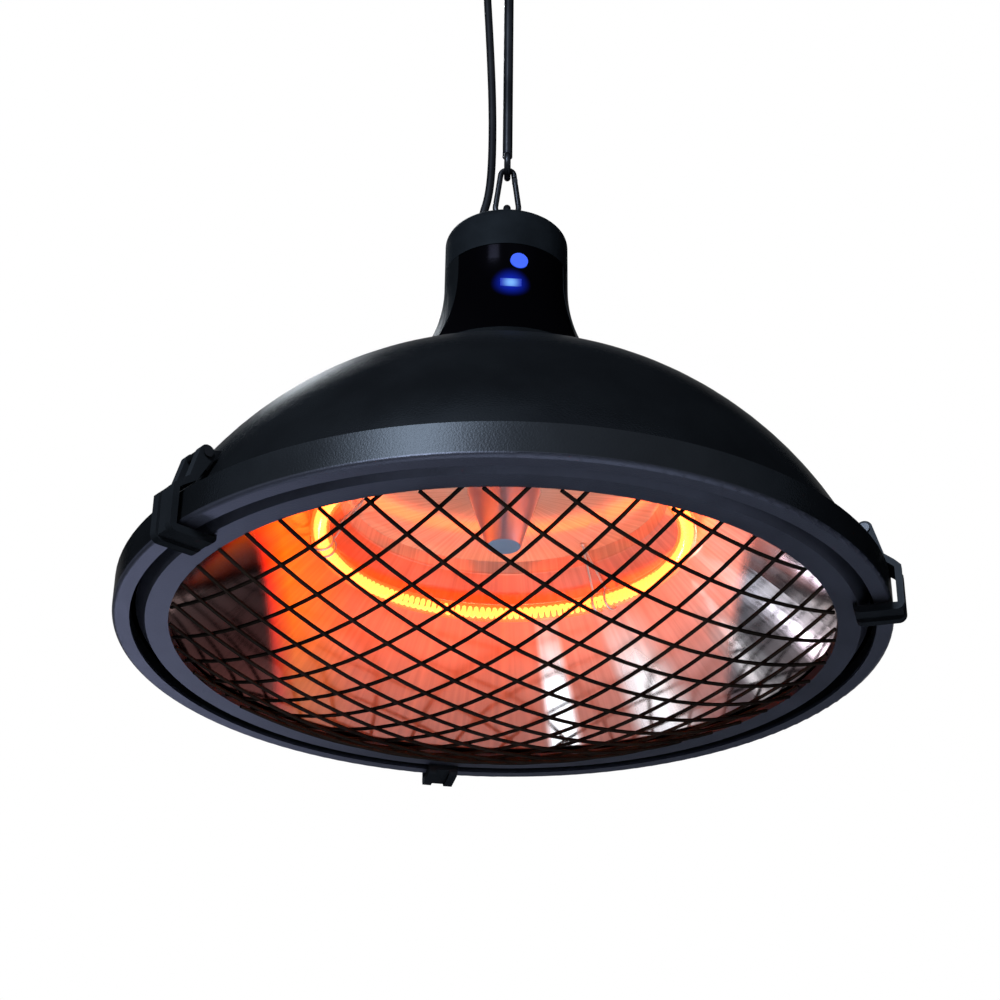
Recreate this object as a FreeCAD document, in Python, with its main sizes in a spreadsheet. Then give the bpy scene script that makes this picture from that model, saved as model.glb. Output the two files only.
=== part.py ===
import FreeCAD, Part
import Sketcher
import math
import os

os.makedirs("parts", exist_ok=True)
doc = FreeCAD.newDocument("hanging_heater")

# Driving sizes: lengths in millimetres, turns in degrees. Heights count up from the plane of the lip.
SIZES = [
    ("hang_height", 510),
    ("seat_gap", 0.2),
    ("running_gap", 0.05),
    ("moving_gap", 0.3),
    ("overrun", 5),
    # Shade
    ("lip_radius", 205),
    ("lip_height", 17.5),
    ("lip_fold", 9),
    ("lip_return", 8),
    ("lip_edge", 2),
    ("shade_wall", 1.2),
    ("dome_ledge", 8),
    ("dome_height", 158),
    ("land_radius", 62),
    ("shade_hole", 43),
    # Guard
    ("guard_gap", 8),
    ("guard_width", 12),
    ("guard_wall", 1.2),
    ("guard_return", 5),
    ("guard_flare", 5.5),
    ("guard_bulge", 40),
    ("guard_wire", 2),
    ("guard_spacing", 22.4),
    ("guard_seat_height", 1.5),
    # Reflector and centre cone
    ("reflector_wall", 0.8),
    ("mouth_margin", 2.5),
    ("flange_margin", 3),
    ("step_radius", 90),
    ("step_tall", 7),
    ("plate_radius", 88),
    ("cone_base", 20),
    ("cone_tip", 9.25),
    ("cone_depth", 34),
    ("cone_wall", 1.2),
    ("stud_radius", 2),
    ("stud_length", 40),
    # Heating tube
    ("ring_gap", 4.085),
    ("ring_drop", 28),
    ("tube_radius", 5.2),
    ("tube_wall", 1),
    ("tube_gap_angle", 30),
    ("coil_radius", 3.05),
    ("coil_wire", 1.5),
    ("cap_radius", 7),
    ("cap_length", 18),
    ("lead_radius", 1.3),
    ("lead_hole", 9),
    ("lead_spread", 3.9),
    ("lead_bend", 5.2),
    ("lead_elbow", 2.6),
    ("lead_clearance", 5.00),
    ("lead_margin", 15.6),
    ("hanger_wire", 1.4),
    ("hanger_spread", 9),
    ("hanger_inset", 10.0),
    # Bolts that hang the reflector
    ("bolt_radius", 2),
    ("bolt_circle", 13),
    ("bolt_head", 3.5),
    ("bolt_head_height", 2.6),
    ("nut_radius", 4),
    ("nut_height", 3.2),
    ("spacer_radius", 4),
    ("shield_radius", 85),
    ("shield_wall", 1),
    ("upper_spacer", 25.2),
    ("lower_spacer", 25.2),
    ("disc_radius", 58),
    ("disc_wall", 3),
    ("wire_hole", 7),
    ("wire_hole_circle", 27),
    # Neck and cap
    ("neck_radius", 36),
    ("neck_flare", 104),
    ("neck_foot", 60),
    ("neck_wall", 5),
    ("neck_tall", 84.9),
    ("neck_straight", 9.5),
    ("neck_flange", 4),
    ("neck_flange_bore", 45),
    ("neck_spigot", 6.5),
    ("spigot_wall", 2),
    ("screw_circle", 50),
    ("cap_height", 26.8),
    ("cap_edge", 6.4),
    ("cap_wall", 2.8),
    ("window_depth", 2.2),
    ("window_tall", 68),
    ("window_angle", 116),
    ("window_azimuth", -82),
    ("lens_radius", 5),
    ("lens_drop", 11.5),
    ("lens_azimuth", -78.3),
    ("lens_proud", 0.3),
    ("bar_width", 12),
    ("bar_tall", 5),
    ("bar_drop", 28),
    ("bar_azimuth", -86),
    # Electrics inside the neck
    ("block_length", 34),
    ("block_width", 16),
    ("block_tall", 16),
    ("block_offset", 22),
    ("block_screw", 2.4),
    ("block_entry", 9),
    ("board_width", 40),
    ("board_tall", 46),
    ("board_wall", 1.6),
    ("board_rise", 30.8),
    ("board_offset", 20.4),
    ("bracket_width", 28),
    ("bracket_leg", 4),
    ("bracket_tall", 58),
    ("bracket_wall", 1.5),
    ("bracket_foot", 10),
    ("relay_width", 19),
    ("relay_depth", 10),
    ("relay_tall", 15),
    ("receiver_radius", 3),
    ("receiver_depth", 5),
    ("receiver_offset", 9),
    ("cutout_radius", 8),
    ("cutout_tall", 9),
    ("cutout_offset", 50),
    ("cutout_tab_length", 19.2),
    ("cutout_tab_width", 4),
    ("cutout_tab_wall", 1),
    # Eye bolt and cable gland on the cap
    ("eye_radius", 8.5),
    ("eye_rise", 13.2),
    ("eye_wire", 4.6),
    ("eye_collar", 6),
    ("eye_collar_height", 3),
    ("eye_shank", 4),
    ("eye_shank_length", 14),
    ("eye_nut", 7.5),
    ("eye_nut_height", 6.5),
    ("washer_radius", 8),
    ("washer_wall", 1.6),
    ("gland_offset", 15),
    ("gland_radius", 4),
    ("gland_hex", 6.3),
    ("gland_hex_height", 4),
    ("gland_nose", 6),
    ("gland_nose_root", 5.3),
    ("gland_nose_tip", 3.6),
    ("gland_tail", 10),
    ("gland_nut", 6.9),
    ("gland_nut_height", 3),
    ("cable_radius", 2.5),
    # Snap hook, drop rod and ceiling plate
    ("hook_wire", 3.4),
    ("hook_top_radius", 4),
    ("hook_bottom_radius", 6.9),
    ("hook_reach", 23.7),
    ("gate_hinge_drop", 5),
    ("gate_tongue", 1.2),
    ("gate_slot", 1.8),
    ("gate_knuckle", 2.1),
    ("gate_pin", 0.7),
    ("rod_radius", 3),
    ("rod_eye_radius", 7),
    ("rod_eye_wire", 4),
    ("rod_nut", 5.7),
    ("rod_nut_height", 5),
    ("plate_disc", 40),
    ("plate_wall", 8),
    ("plate_edge", 3),
    ("plate_pocket", 7.5),
    ("plate_pocket_depth", 5.5),
    ("plate_screw", 2.6),
    ("plate_screw_circle", 30),
    # Latches that hold the guard
    ("latch_width", 18),
    ("latch_channel", 8),
    ("latch_rib", 1.4),
    ("latch_arm", 3.5),
    ("latch_gap", 2.8),
    ("latch_depth", 6),
    ("latch_reach", 19.5),
    ("latch_toe", 3.5),
    ("latch_heel", 4.4),
    ("latch_foot", 2.2),
    ("latch_relief", 1.5),
    ("latch_toe_gap", 0.5),
    ("latch_crest_rise", 1),
    ("latch_fall", 3.5),
    ("latch_web", 1.4),
    ("latch_neck_inset", 1.8),
    ("finger_lean", 21.5),
    ("latch_neck_rise", 8),
    ("latch_pin_rise", 23.5),
    ("latch_pin_stand", 6.5),
    ("latch_pin", 1.5),
    ("latch_pin_head", 2.6),
    ("latch_pin_head_height", 0.8),
    ("latch_knuckle", 4.2),
    ("lug_width", 7.4),
    ("lug_knuckle", 3.8),
    ("lug_foot", 7),
]
CURLS = 96
GUARD_TURN = -48
GUARD_SHIFT_SHARES = (0.52, 0.21)
LATCH_AZIMUTHS = {"latch_right": 345, "latch_rear": 101, "latch_left": 220}
HANGER_AZIMUTHS = (54, 174, 294)
TUBE_GAP_AZIMUTH = 270

sheet = doc.addObject("Spreadsheet::Sheet", "Sizes")
for row, (alias, number) in enumerate(SIZES, 1):
    sheet.set(f"A{row}", alias)
    sheet.set(f"B{row}", str(number))
    sheet.setAlias(f"B{row}", alias)
doc.recompute()


class Size:
    """A size with its present value and the expression that ties it to the sheet."""

    def __init__(self, value, text):
        self.value = float(value)
        self.text = text

    def __add__(self, other):
        other = as_size(other)
        return Size(self.value + other.value, f"({self.text} + {other.text})")

    def __sub__(self, other):
        other = as_size(other)
        return Size(self.value - other.value, f"({self.text} - {other.text})")

    def __mul__(self, other):
        other = as_size(other)
        return Size(self.value * other.value, f"({self.text} * {other.text})")

    def __truediv__(self, other):
        other = as_size(other)
        return Size(self.value / other.value, f"({self.text} / {other.text})")

    def __neg__(self):
        return Size(-self.value, f"(-{self.text})")

    def root(self):
        return Size(math.sqrt(self.value), f"sqrt({self.text})")


def as_size(number):
    return number if isinstance(number, Size) else Size(number, repr(float(number)))


class Sheet:
    """Each alias of the sheet as a Size."""

    def __getattr__(self, alias):
        return Size(sheet.get(alias), f"Sizes.{alias}")


size = Sheet()
ZERO = as_size(0)
FULL_TURN = 360
SIXTH_TURN = 60
QUARTER_TURN = 90
pieces = []


def bind(thing, **sizes):
    """Tie properties of a feature to sizes."""
    for name, value in sizes.items():
        thing.setExpression(name, as_size(value).text)
    return thing


def place(thing, across=ZERO, along=ZERO, up=ZERO, turn=None):
    """Set a feature's place, its height counted from the lip's plane, and its turn."""
    thing.Placement = FreeCAD.Placement(FreeCAD.Vector(), turn or FreeCAD.Rotation())
    thing.setExpression(".Placement.Base.x", as_size(across).text)
    thing.setExpression(".Placement.Base.y", as_size(along).text)
    thing.setExpression(".Placement.Base.z", as_size(up).text)
    return thing


def about_z(degrees):
    return FreeCAD.Rotation(FreeCAD.Vector(0, 0, 1), degrees)


def hang(thing, label, azimuth=0, up=ZERO):
    """Finish a piece: name it and hang it below the ceiling."""
    thing.Label = label
    place(thing, up=as_size(up) - size.hang_height, turn=about_z(azimuth))
    pieces.append(thing)
    return thing


def origin_plane(body, role):
    return next(item for item in body.Origin.OriginFeatures if item.Role == role)


def new_sketch(body, role):
    sketch = body.newObject("Sketcher::SketchObject", f"{body.Name}_outline")
    sketch.AttachmentSupport = [(origin_plane(body, role), "")]
    sketch.MapMode = "FlatFace"
    return sketch


def hold_point(sketch, geometry, end, across, up):
    """Hold one end of a sketch line or arc at its distances from the sketch origin."""
    for kind, axis, distance in (("DistanceX", -2, across), ("DistanceY", -1, up)):
        if abs(distance.value) < 1e-9:
            sketch.addConstraint(Sketcher.Constraint("PointOnObject", geometry, end, axis))
            continue
        index = sketch.addConstraint(Sketcher.Constraint(kind, -1, 1, geometry, end, distance.value))
        sketch.setExpression(f"Constraints[{index}]", distance.text)


def draw(body, role, corners):
    """Draw a closed outline. A corner is (across, up), or (across, up, radius, side) where an arc leads
    to it; side is 1 for an arc that turns left on its way, and -1 for one that turns right."""
    sketch = new_sketch(body, role)
    corners = [tuple(as_size(part) for part in corner[:3]) + tuple(corner[3:]) for corner in corners]
    count = len(corners)
    for index in range(count):
        first = corners[index - 1]
        last = corners[index]
        start = FreeCAD.Vector(first[0].value, first[1].value, 0)
        finish = FreeCAD.Vector(last[0].value, last[1].value, 0)
        if len(last) == 2:
            sketch.addGeometry(Part.LineSegment(start, finish), False)
            continue
        radius = last[2].value
        side = last[3]
        chord = finish - start
        rise = math.sqrt(radius ** 2 - chord.Length ** 2 / 4)
        left = FreeCAD.Vector(-chord.y, chord.x, 0).normalize()
        centre = (start + finish) * 0.5 + left * (rise * side)
        ends = (start, finish) if side > 0 else (finish, start)
        angles = [math.atan2(point.y - centre.y, point.x - centre.x) for point in ends]
        circle = Part.Circle(centre, FreeCAD.Vector(0, 0, 1), radius)
        sketch.addGeometry(Part.ArcOfCircle(circle, *angles), False)
    turned = [len(corner) == 4 and corner[3] < 0 for corner in corners]
    for index in range(count):
        after = (index + 1) % count
        here = 1 if turned[index] else 2
        there = 2 if turned[after] else 1
        sketch.addConstraint(Sketcher.Constraint("Coincident", index, here, after, there))
        hold_point(sketch, index, here, corners[index][0], corners[index][1])
        if len(corners[index]) == 4:
            radius = corners[index][2]
            hold = sketch.addConstraint(Sketcher.Constraint("Radius", index, radius.value))
            sketch.setExpression(f"Constraints[{hold}]", radius.text)
    return sketch


def turned(name, corners, angle=None):
    """A body turned about its upright axis, or a slice of one, centred on its own +X side."""
    body = doc.addObject("PartDesign::Body", name)
    sketch = draw(body, "XZ_Plane", corners)
    solid = body.newObject("PartDesign::Revolution", f"{name}_turned")
    solid.Profile = sketch
    solid.ReferenceAxis = (sketch, ["V_Axis"])
    solid.Angle = FULL_TURN
    if angle is not None:
        bind(solid, Angle=angle)
        solid.Midplane = True
    sketch.Visibility = False
    doc.recompute()
    return body


def padded(name, corners, width):
    """A body padded to both sides of its radial plane."""
    body = doc.addObject("PartDesign::Body", name)
    sketch = draw(body, "XZ_Plane", corners)
    solid = body.newObject("PartDesign::Pad", f"{name}_pad")
    solid.Profile = sketch
    solid.SideType = "Symmetric"
    bind(solid, Length=width)
    doc.recompute()
    return body


def cut_away(body, sketch, width=None):
    """Cut a sketch out of a body, right through it or over a width centred on the sketch."""
    before = body.Shape.Volume
    pocket = body.newObject("PartDesign::Pocket", f"{body.Name}_pocket")
    pocket.Profile = sketch
    pocket.SideType = "Symmetric"
    if width is None:
        pocket.Type = "ThroughAll"
    else:
        bind(pocket, Length=width)
    doc.recompute()
    if body.Shape.Volume >= before:
        raise ValueError(f"{body.Name}: the pocket cuts nothing")
    return pocket


def drill(body, across, radius, role="XY_Plane", up=ZERO, count=1):
    """Drill a round hole right through a body, and repeat it about the upright axis."""
    sketch = new_sketch(body, role)
    across = as_size(across)
    up = as_size(up)
    centre = FreeCAD.Vector(across.value, up.value, 0)
    sketch.addGeometry(Part.Circle(centre, FreeCAD.Vector(0, 0, 1), radius.value), False)
    hold_point(sketch, 0, 3, across, up)
    hold = sketch.addConstraint(Sketcher.Constraint("Radius", 0, radius.value))
    sketch.setExpression(f"Constraints[{hold}]", radius.text)
    doc.recompute()
    pocket = cut_away(body, sketch)
    if count > 1:
        pattern = body.newObject("PartDesign::PolarPattern", f"{body.Name}_pattern")
        pattern.Originals = [pocket]
        pattern.Axis = (origin_plane(body, "Z_Axis"), [""])
        pattern.Angle = FULL_TURN
        pattern.Occurrences = count
        body.Tip = pattern
        doc.recompute()
    return body


def rod(name, radius, length, across=ZERO, along=ZERO, up=ZERO, turn=None):
    """A round bar, upright unless it is turned, from its foot."""
    bar = bind(doc.addObject("Part::Cylinder", name), Radius=radius, Height=length)
    return place(bar, across, along, up, turn)


def hexagon(name, radius, length, across=ZERO, along=ZERO, up=ZERO):
    bar = doc.addObject("Part::Prism", name)
    bar.Polygon = 6
    return place(bind(bar, Circumradius=radius, Height=length), across, along, up)


def block(name, length, width, height, across=ZERO, along=ZERO, up=ZERO, turn=None):
    box = bind(doc.addObject("Part::Box", name), Length=length, Width=width, Height=height)
    return place(box, across, along, up, turn)


def ring(name, radius, wire, up, turn=None):
    torus = bind(doc.addObject("Part::Torus", name), Radius1=radius, Radius2=as_size(wire) / 2)
    return place(torus, up=up, turn=turn)


def fused(name, *shapes):
    whole = doc.addObject("Part::MultiFuse", name)
    whole.Shapes = list(shapes)
    return whole


def less(name, base, *tools):
    result = doc.addObject("Part::Cut", name)
    result.Base = base
    result.Tool = tools[0] if len(tools) == 1 else fused(f"{name}_tools", *tools)
    return result


def group(name, members):
    whole = doc.addObject("Part::Compound", name)
    whole.Links = members
    return whole


def formed(name, shape):
    """A piece of bent wire or cable, whose shape follows its own route."""
    thing = doc.addObject("Part::Feature", name)
    thing.Shape = shape
    return thing


def on_circle(radius, degrees):
    """Where a place on a circle about the upright axis lies."""
    angle = math.radians(degrees)
    return as_size(radius) * math.cos(angle), as_size(radius) * math.sin(angle)


def bent_path(points, radii=None):
    """Straight runs joined by tangent arcs, each as large as its two runs allow, or of a stated radius."""
    room_share = 0.45
    edges = []
    used = []
    at = points[0]
    for index in range(1, len(points) - 1):
        before = points[index] - points[index - 1]
        after = points[index + 1] - points[index]
        half = before.getAngle(after) / 2
        trim = room_share * min(before.Length, after.Length)
        if radii and radii[index - 1]:
            trim = radii[index - 1] * math.tan(half)
        used.append(trim / math.tan(half))
        into = points[index] - before.normalize() * trim
        out = points[index] + after.normalize() * trim
        middle = (into + out) * 0.5
        inward = (middle - points[index]).normalize()
        reach = used[-1] / math.cos(half) - used[-1]
        edges.append(Part.LineSegment(at, into).toShape())
        edges.append(Part.Arc(into, points[index] + inward * reach, out).toShape())
        at = out
    edges.append(Part.LineSegment(at, points[-1]).toShape())
    return Part.Wire(edges), used


def round_bar(path, radius):
    """A round bar along a path of lines and arcs."""
    start = path.Edges[0].valueAt(path.Edges[0].FirstParameter)
    heading = path.Edges[0].tangentAt(path.Edges[0].FirstParameter)
    section = Part.Wire([Part.Circle(start, heading, radius).toShape()])
    return path.makePipeShell([section], True, False)


def cable(name, points, radius):
    """A cable along its route; its bends are printed and its volume compared with its section and length."""
    path, radii = bent_path(points)
    solid = round_bar(path, radius)
    print(name, "length", round(path.Length, 1), "bend radii", [round(bend) for bend in radii])
    expected = math.pi * radius ** 2 * path.Length
    if abs(solid.Volume / expected - 1) > 0.01:
        raise ValueError(f"{name}: the tube doesn't fill its route")
    return solid


# Shade: spun steel dome with a ledge, a straight rim and a lip folded in and up
dome_rise = size.dome_height - size.lip_height
dome_foot = size.lip_radius - size.dome_ledge
dome_radius = (dome_foot * dome_foot + dome_rise * dome_rise) / (dome_rise * 2)
dome_centre = size.dome_height - dome_radius
dome_inside = dome_radius - size.shade_wall
land_height = dome_centre + (dome_radius * dome_radius - size.land_radius * size.land_radius).root()
land_under = land_height - size.shade_wall
ledge_under = size.lip_height - size.shade_wall
land_inside = (dome_inside * dome_inside - (land_under - dome_centre) * (land_under - dome_centre)).root()
ledge_inside = (dome_inside * dome_inside - (ledge_under - dome_centre) * (ledge_under - dome_centre)).root()
lip_inner = size.lip_radius - size.lip_fold
rim_inside = size.lip_radius - size.shade_wall
shade = turned("shade_body", [
    (lip_inner, ZERO),
    (size.lip_radius - size.lip_edge, ZERO),
    (size.lip_radius, size.lip_edge, size.lip_edge, 1),
    (size.lip_radius, size.lip_height),
    (dome_foot, size.lip_height),
    (size.land_radius, land_height, dome_radius, 1),
    (size.shade_hole, land_height),
    (size.shade_hole, land_under),
    (land_inside, land_under),
    (ledge_inside, ledge_under, dome_inside, -1),
    (rim_inside, ledge_under),
    (rim_inside, size.lip_edge),
    (size.lip_radius - size.lip_edge, size.shade_wall, size.lip_edge - size.shade_wall, -1),
    (lip_inner + size.shade_wall, size.shade_wall),
    (lip_inner + size.shade_wall, size.lip_return),
    (lip_inner, size.lip_return),
])
screw_hole = size.bolt_radius + size.seat_gap
deck_top = land_under - size.seat_gap
disc_under = deck_top - size.disc_wall
shield_top = disc_under - size.upper_spacer
shield_height = shield_top - size.shield_wall
plate_top = shield_height - size.lower_spacer
plate_height = plate_top - size.reflector_wall
drill(shade, size.screw_circle, screw_hole, count=3)
hang(shade, "shade")

# Guard ring: rolled hat section that nests inside the lip
guard_top = size.lip_return - size.seat_gap
guard_outer = lip_inner - size.guard_gap
guard_inner = guard_outer - size.guard_width
guard_ring = turned("guard_ring_body", [
    (guard_inner, ZERO),
    (guard_outer, ZERO),
    (guard_outer + size.guard_flare, guard_top),
    (guard_outer + size.guard_flare - size.guard_wall, guard_top),
    (guard_outer - size.guard_wall, size.guard_wall),
    (guard_inner + size.guard_wall, size.guard_wall),
    (guard_inner + size.guard_wall, size.guard_return),
    (guard_inner, size.guard_return),
])
hang(guard_ring, "guard_ring")


# Guard wires: two crossing families on a shallow sphere, welded to the ring's inner wall
def guard_wires(offset_share, turn, layer):
    """One family of parallel arcs; layer is the side of the middle sphere that it lies on."""
    pitch = size.guard_spacing.value
    wire = size.guard_wire.value / 2
    edge = guard_inner.value - size.seat_gap.value
    bulge = size.guard_bulge.value
    middle = (edge ** 2 + bulge ** 2) / (2 * bulge)
    centre_height = size.guard_seat_height.value - bulge + middle
    sphere = middle + layer * (wire + size.running_gap.value)
    reach = int(edge / pitch) + 1
    normal = FreeCAD.Vector(math.cos(math.radians(turn)), math.sin(math.radians(turn)), 0)
    along = FreeCAD.Vector(-normal.y, normal.x, 0)
    down = FreeCAD.Vector(0, 0, -1)
    wires = []
    for step in range(-reach, reach + 1):
        offset = (step + offset_share) * pitch
        half = edge ** 2 - (abs(offset) + wire) ** 2
        if half < pitch ** 2:
            continue
        radius = math.sqrt(sphere ** 2 - offset ** 2)
        swing = math.asin(math.sqrt(half) / radius)
        centre = normal * offset + FreeCAD.Vector(0, 0, centre_height)
        start = centre + (down * math.cos(swing) - along * math.sin(swing)) * radius
        heading = along * math.cos(swing) + down * math.sin(swing)
        section = Part.Face(Part.Wire([Part.Circle(start, heading, wire).toShape()]))
        wires.append(section.revolve(centre, down.cross(along), math.degrees(2 * swing)))
    return Part.makeCompound(wires)


guard_front = formed("guard_front_wires", guard_wires(GUARD_SHIFT_SHARES[0], GUARD_TURN, 1))
hang(guard_front, "guard_wires_front")
guard_back = formed("guard_back_wires", guard_wires(GUARD_SHIFT_SHARES[1], GUARD_TURN + QUARTER_TURN, -1))
hang(guard_back, "guard_wires_back")

# Reflector: polished cone with a stepped flat top, its flange lying on the lip's upturned edge
reflector_mouth = guard_inner + size.mouth_margin
reflector_flange = size.lip_radius - size.flange_margin
step_height = plate_height - size.step_tall
ring_height = plate_height - size.ring_drop
wall_lean = (reflector_mouth - size.step_radius) / (step_height - size.lip_return)
ring_wall = reflector_mouth - (ring_height - size.lip_return) * wall_lean
ring_radius = ring_wall - (size.tube_radius + size.ring_gap) * (wall_lean * wall_lean + 1).root()
reflector_turned = turned("reflector_body", [
    (size.bolt_radius + size.seat_gap, plate_height),
    (size.plate_radius, plate_height),
    (size.step_radius, step_height),
    (reflector_mouth, size.lip_return),
    (reflector_flange, size.lip_return),
    (reflector_flange, size.lip_return + size.reflector_wall),
    (reflector_mouth + size.reflector_wall / 2, size.lip_return + size.reflector_wall),
    (size.step_radius + size.reflector_wall, step_height + size.reflector_wall),
    (size.plate_radius + size.reflector_wall, plate_top),
    (size.bolt_radius + size.seat_gap, plate_top),
])
drill(reflector_turned, size.bolt_circle, screw_hole, count=3)
lead_circle = ring_radius + size.cap_radius / 2
lead_x, lead_y = on_circle(lead_circle, TUBE_GAP_AZIMUTH)
lead_way = rod("lead_way", size.lead_hole, plate_height - ring_height + size.overrun,
               across=lead_x, along=lead_y, up=ring_height)
hang(less("reflector_cut", reflector_turned, lead_way), "reflector")

# Centre cone: spun aluminium shell with a welded stud
cone_top = plate_height - size.seat_gap
cone_tip_height = plate_height - size.cone_depth
cone_floor = cone_tip_height + size.cone_wall
centre_cone = turned("centre_cone_body", [
    (ZERO, cone_tip_height),
    (size.cone_tip, cone_tip_height),
    (size.cone_base, cone_top),
    (size.cone_base - size.cone_wall, cone_top),
    (size.cone_tip - size.cone_wall / 2, cone_floor),
    (size.stud_radius, cone_floor),
    (size.stud_radius, cone_floor + size.stud_length),
    (ZERO, cone_floor + size.stud_length),
])
hang(centre_cone, "centre_cone")
cone_nut_bore = rod("cone_nut_bore", size.stud_radius + size.running_gap, size.nut_height, up=plate_top)
cone_nut_hex = hexagon("cone_nut_hex", size.nut_radius, size.nut_height, up=plate_top)
hang(less("cone_nut_cut", cone_nut_hex, cone_nut_bore), "cone_nut")

# Quartz tube: open ring with its gap on the near side
gap_half = size.tube_gap_angle / 2
tube_sweep = as_size(FULL_TURN) - size.tube_gap_angle
tube_start = TUBE_GAP_AZIMUTH + gap_half.value


def tube_ring(name, radius):
    torus = bind(doc.addObject("Part::Torus", name), Radius1=ring_radius, Radius2=radius, Angle3=tube_sweep)
    return place(torus, up=ring_height, turn=about_z(tube_start))


tube_bore = size.tube_radius - size.tube_wall
tube_outside = tube_ring("tube_outside", size.tube_radius)
hang(less("tube_cut", tube_outside, tube_ring("tube_inside", tube_bore)), "quartz_tube")


# Heating coil: one unbroken wire wound along the ring, its two ends straight
def coil_point(turns, curls, start, sweep):
    """A point of the winding and its heading, counted in turns from its start."""
    reach = size.coil_radius.value
    phase = 2 * math.pi * turns
    angle = start + sweep * turns / curls
    out = FreeCAD.Vector(math.cos(angle), math.sin(angle), 0)
    along = FreeCAD.Vector(-math.sin(angle), math.cos(angle), 0)
    up = FreeCAD.Vector(0, 0, 1)
    distance = ring_radius.value + reach * math.cos(phase)
    point = out * distance + up * (ring_height.value + reach * math.sin(phase))
    spin = (up * math.cos(phase) - out * math.sin(phase)) * (reach * 2 * math.pi)
    return point, (spin + along * (distance * sweep / curls)).normalize()


def biarc(first, first_heading, last, last_heading):
    """Two tangent arcs between two points with set headings."""
    span = last - first
    both = first_heading + last_heading
    spread = both.dot(both) / 2 - 2
    side = span.dot(both)
    reach = span.dot(span) / (2 * side) if abs(spread) < 1e-9 else \
        (side - math.sqrt(side ** 2 - 2 * spread * span.dot(span))) / (2 * spread)
    first_knee = first + first_heading * reach
    last_knee = last - last_heading * reach
    joint = (first_knee + last_knee) * 0.5
    arcs = []
    for start, knee, finish in ((first, first_knee, joint), (joint, last_knee, last)):
        half = (knee - start).getAngle(finish - knee) / 2
        middle = (start + finish) * 0.5
        rise = (finish - start).Length / 2 * math.tan(half / 2)
        arcs.append(Part.Arc(start, middle + (knee - middle).normalize() * rise, finish).toShape())
    return arcs


def heating_coil():
    """The wound wire, with the least gap between its turns measured on points along it."""
    steps = 4
    wire = size.coil_wire.value
    slack = wire / ring_radius.value
    sweep = math.radians(tube_sweep.value) - 4 * slack
    start = math.radians(tube_start) + 2 * slack
    stations = [coil_point(step / steps, CURLS, start, sweep) for step in range(CURLS * steps + 1)]
    edges = []
    for (first, first_heading), (last, last_heading) in zip(stations, stations[1:]):
        edges += biarc(first, first_heading, last, last_heading)
    begin, begin_heading = stations[0]
    finish, finish_heading = stations[-1]
    edges.insert(0, Part.LineSegment(begin - begin_heading * wire, begin).toShape())
    edges.append(Part.LineSegment(finish, finish + finish_heading * wire).toShape())
    track = [edge.valueAt(edge.FirstParameter) for edge in edges]
    turn = 2 * steps
    nearest = min(first.distanceToPoint(last) for index, first in enumerate(track)
                  for last in track[index + turn - 2:index + turn + 3])
    print("heating_coil least gap", round(nearest - wire, 2))
    return round_bar(Part.Wire(edges), wire / 2)


hang(formed("heating_coil_wire", heating_coil()), "heating_coil")

# Ceramic caps on the tube's two ends, and the leads from them to the terminal block
end_caps = []
lead_bars = []
for side in (1, -1):
    angle = TUBE_GAP_AZIMUTH + side * gap_half.value
    heading = FreeCAD.Vector(math.sin(math.radians(angle)), -math.cos(math.radians(angle)), 0) * side
    end_x, end_y = on_circle(ring_radius, angle)
    lie = FreeCAD.Rotation(FreeCAD.Vector(0, 0, 1), heading)
    end_caps.append(rod(f"end_cap_{side}", size.cap_radius, size.cap_length, end_x, end_y, ring_height, lie))
    mouth = FreeCAD.Vector(end_x.value, end_y.value, ring_height.value) + heading * size.cap_length.value
    lead = size.lead_radius.value
    bend = size.lead_bend.value
    elbow = size.lead_elbow.value
    aside = side * size.lead_spread.value
    rise = (shield_height.value + plate_top.value) / 2
    through = size.wire_hole_circle.value
    dome_over = dome_centre + (dome_inside * dome_inside - size.shield_radius * size.shield_radius).root()
    loft = (dome_over - size.lead_clearance).value
    entry = size.block_entry.value
    landing = size.block_offset.value - size.seat_gap.value
    level = deck_top.value + size.block_tall.value / 2
    lead_bars.append(round_bar(bent_path([
        mouth,
        FreeCAD.Vector(aside, mouth.y + (aside - mouth.x) * heading.y / heading.x, mouth.z),
        FreeCAD.Vector(aside, mouth.y, rise),
        FreeCAD.Vector(aside, -size.shield_radius.value - size.lead_margin.value, rise + bend + bend),
        FreeCAD.Vector(aside, -size.shield_radius.value, loft),
        FreeCAD.Vector(aside, -through, loft),
        FreeCAD.Vector(aside, -through, level),
        FreeCAD.Vector(landing - bend - bend, aside - entry, level),
        FreeCAD.Vector(landing, aside - entry, level),
    ], [elbow, None, None, None, bend, bend, None])[0], lead))
hang(group("end_cap_pair", end_caps), "tube_end_caps")
hang(formed("tube_lead_pair", Part.makeCompound(lead_bars)), "tube_leads")


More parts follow.
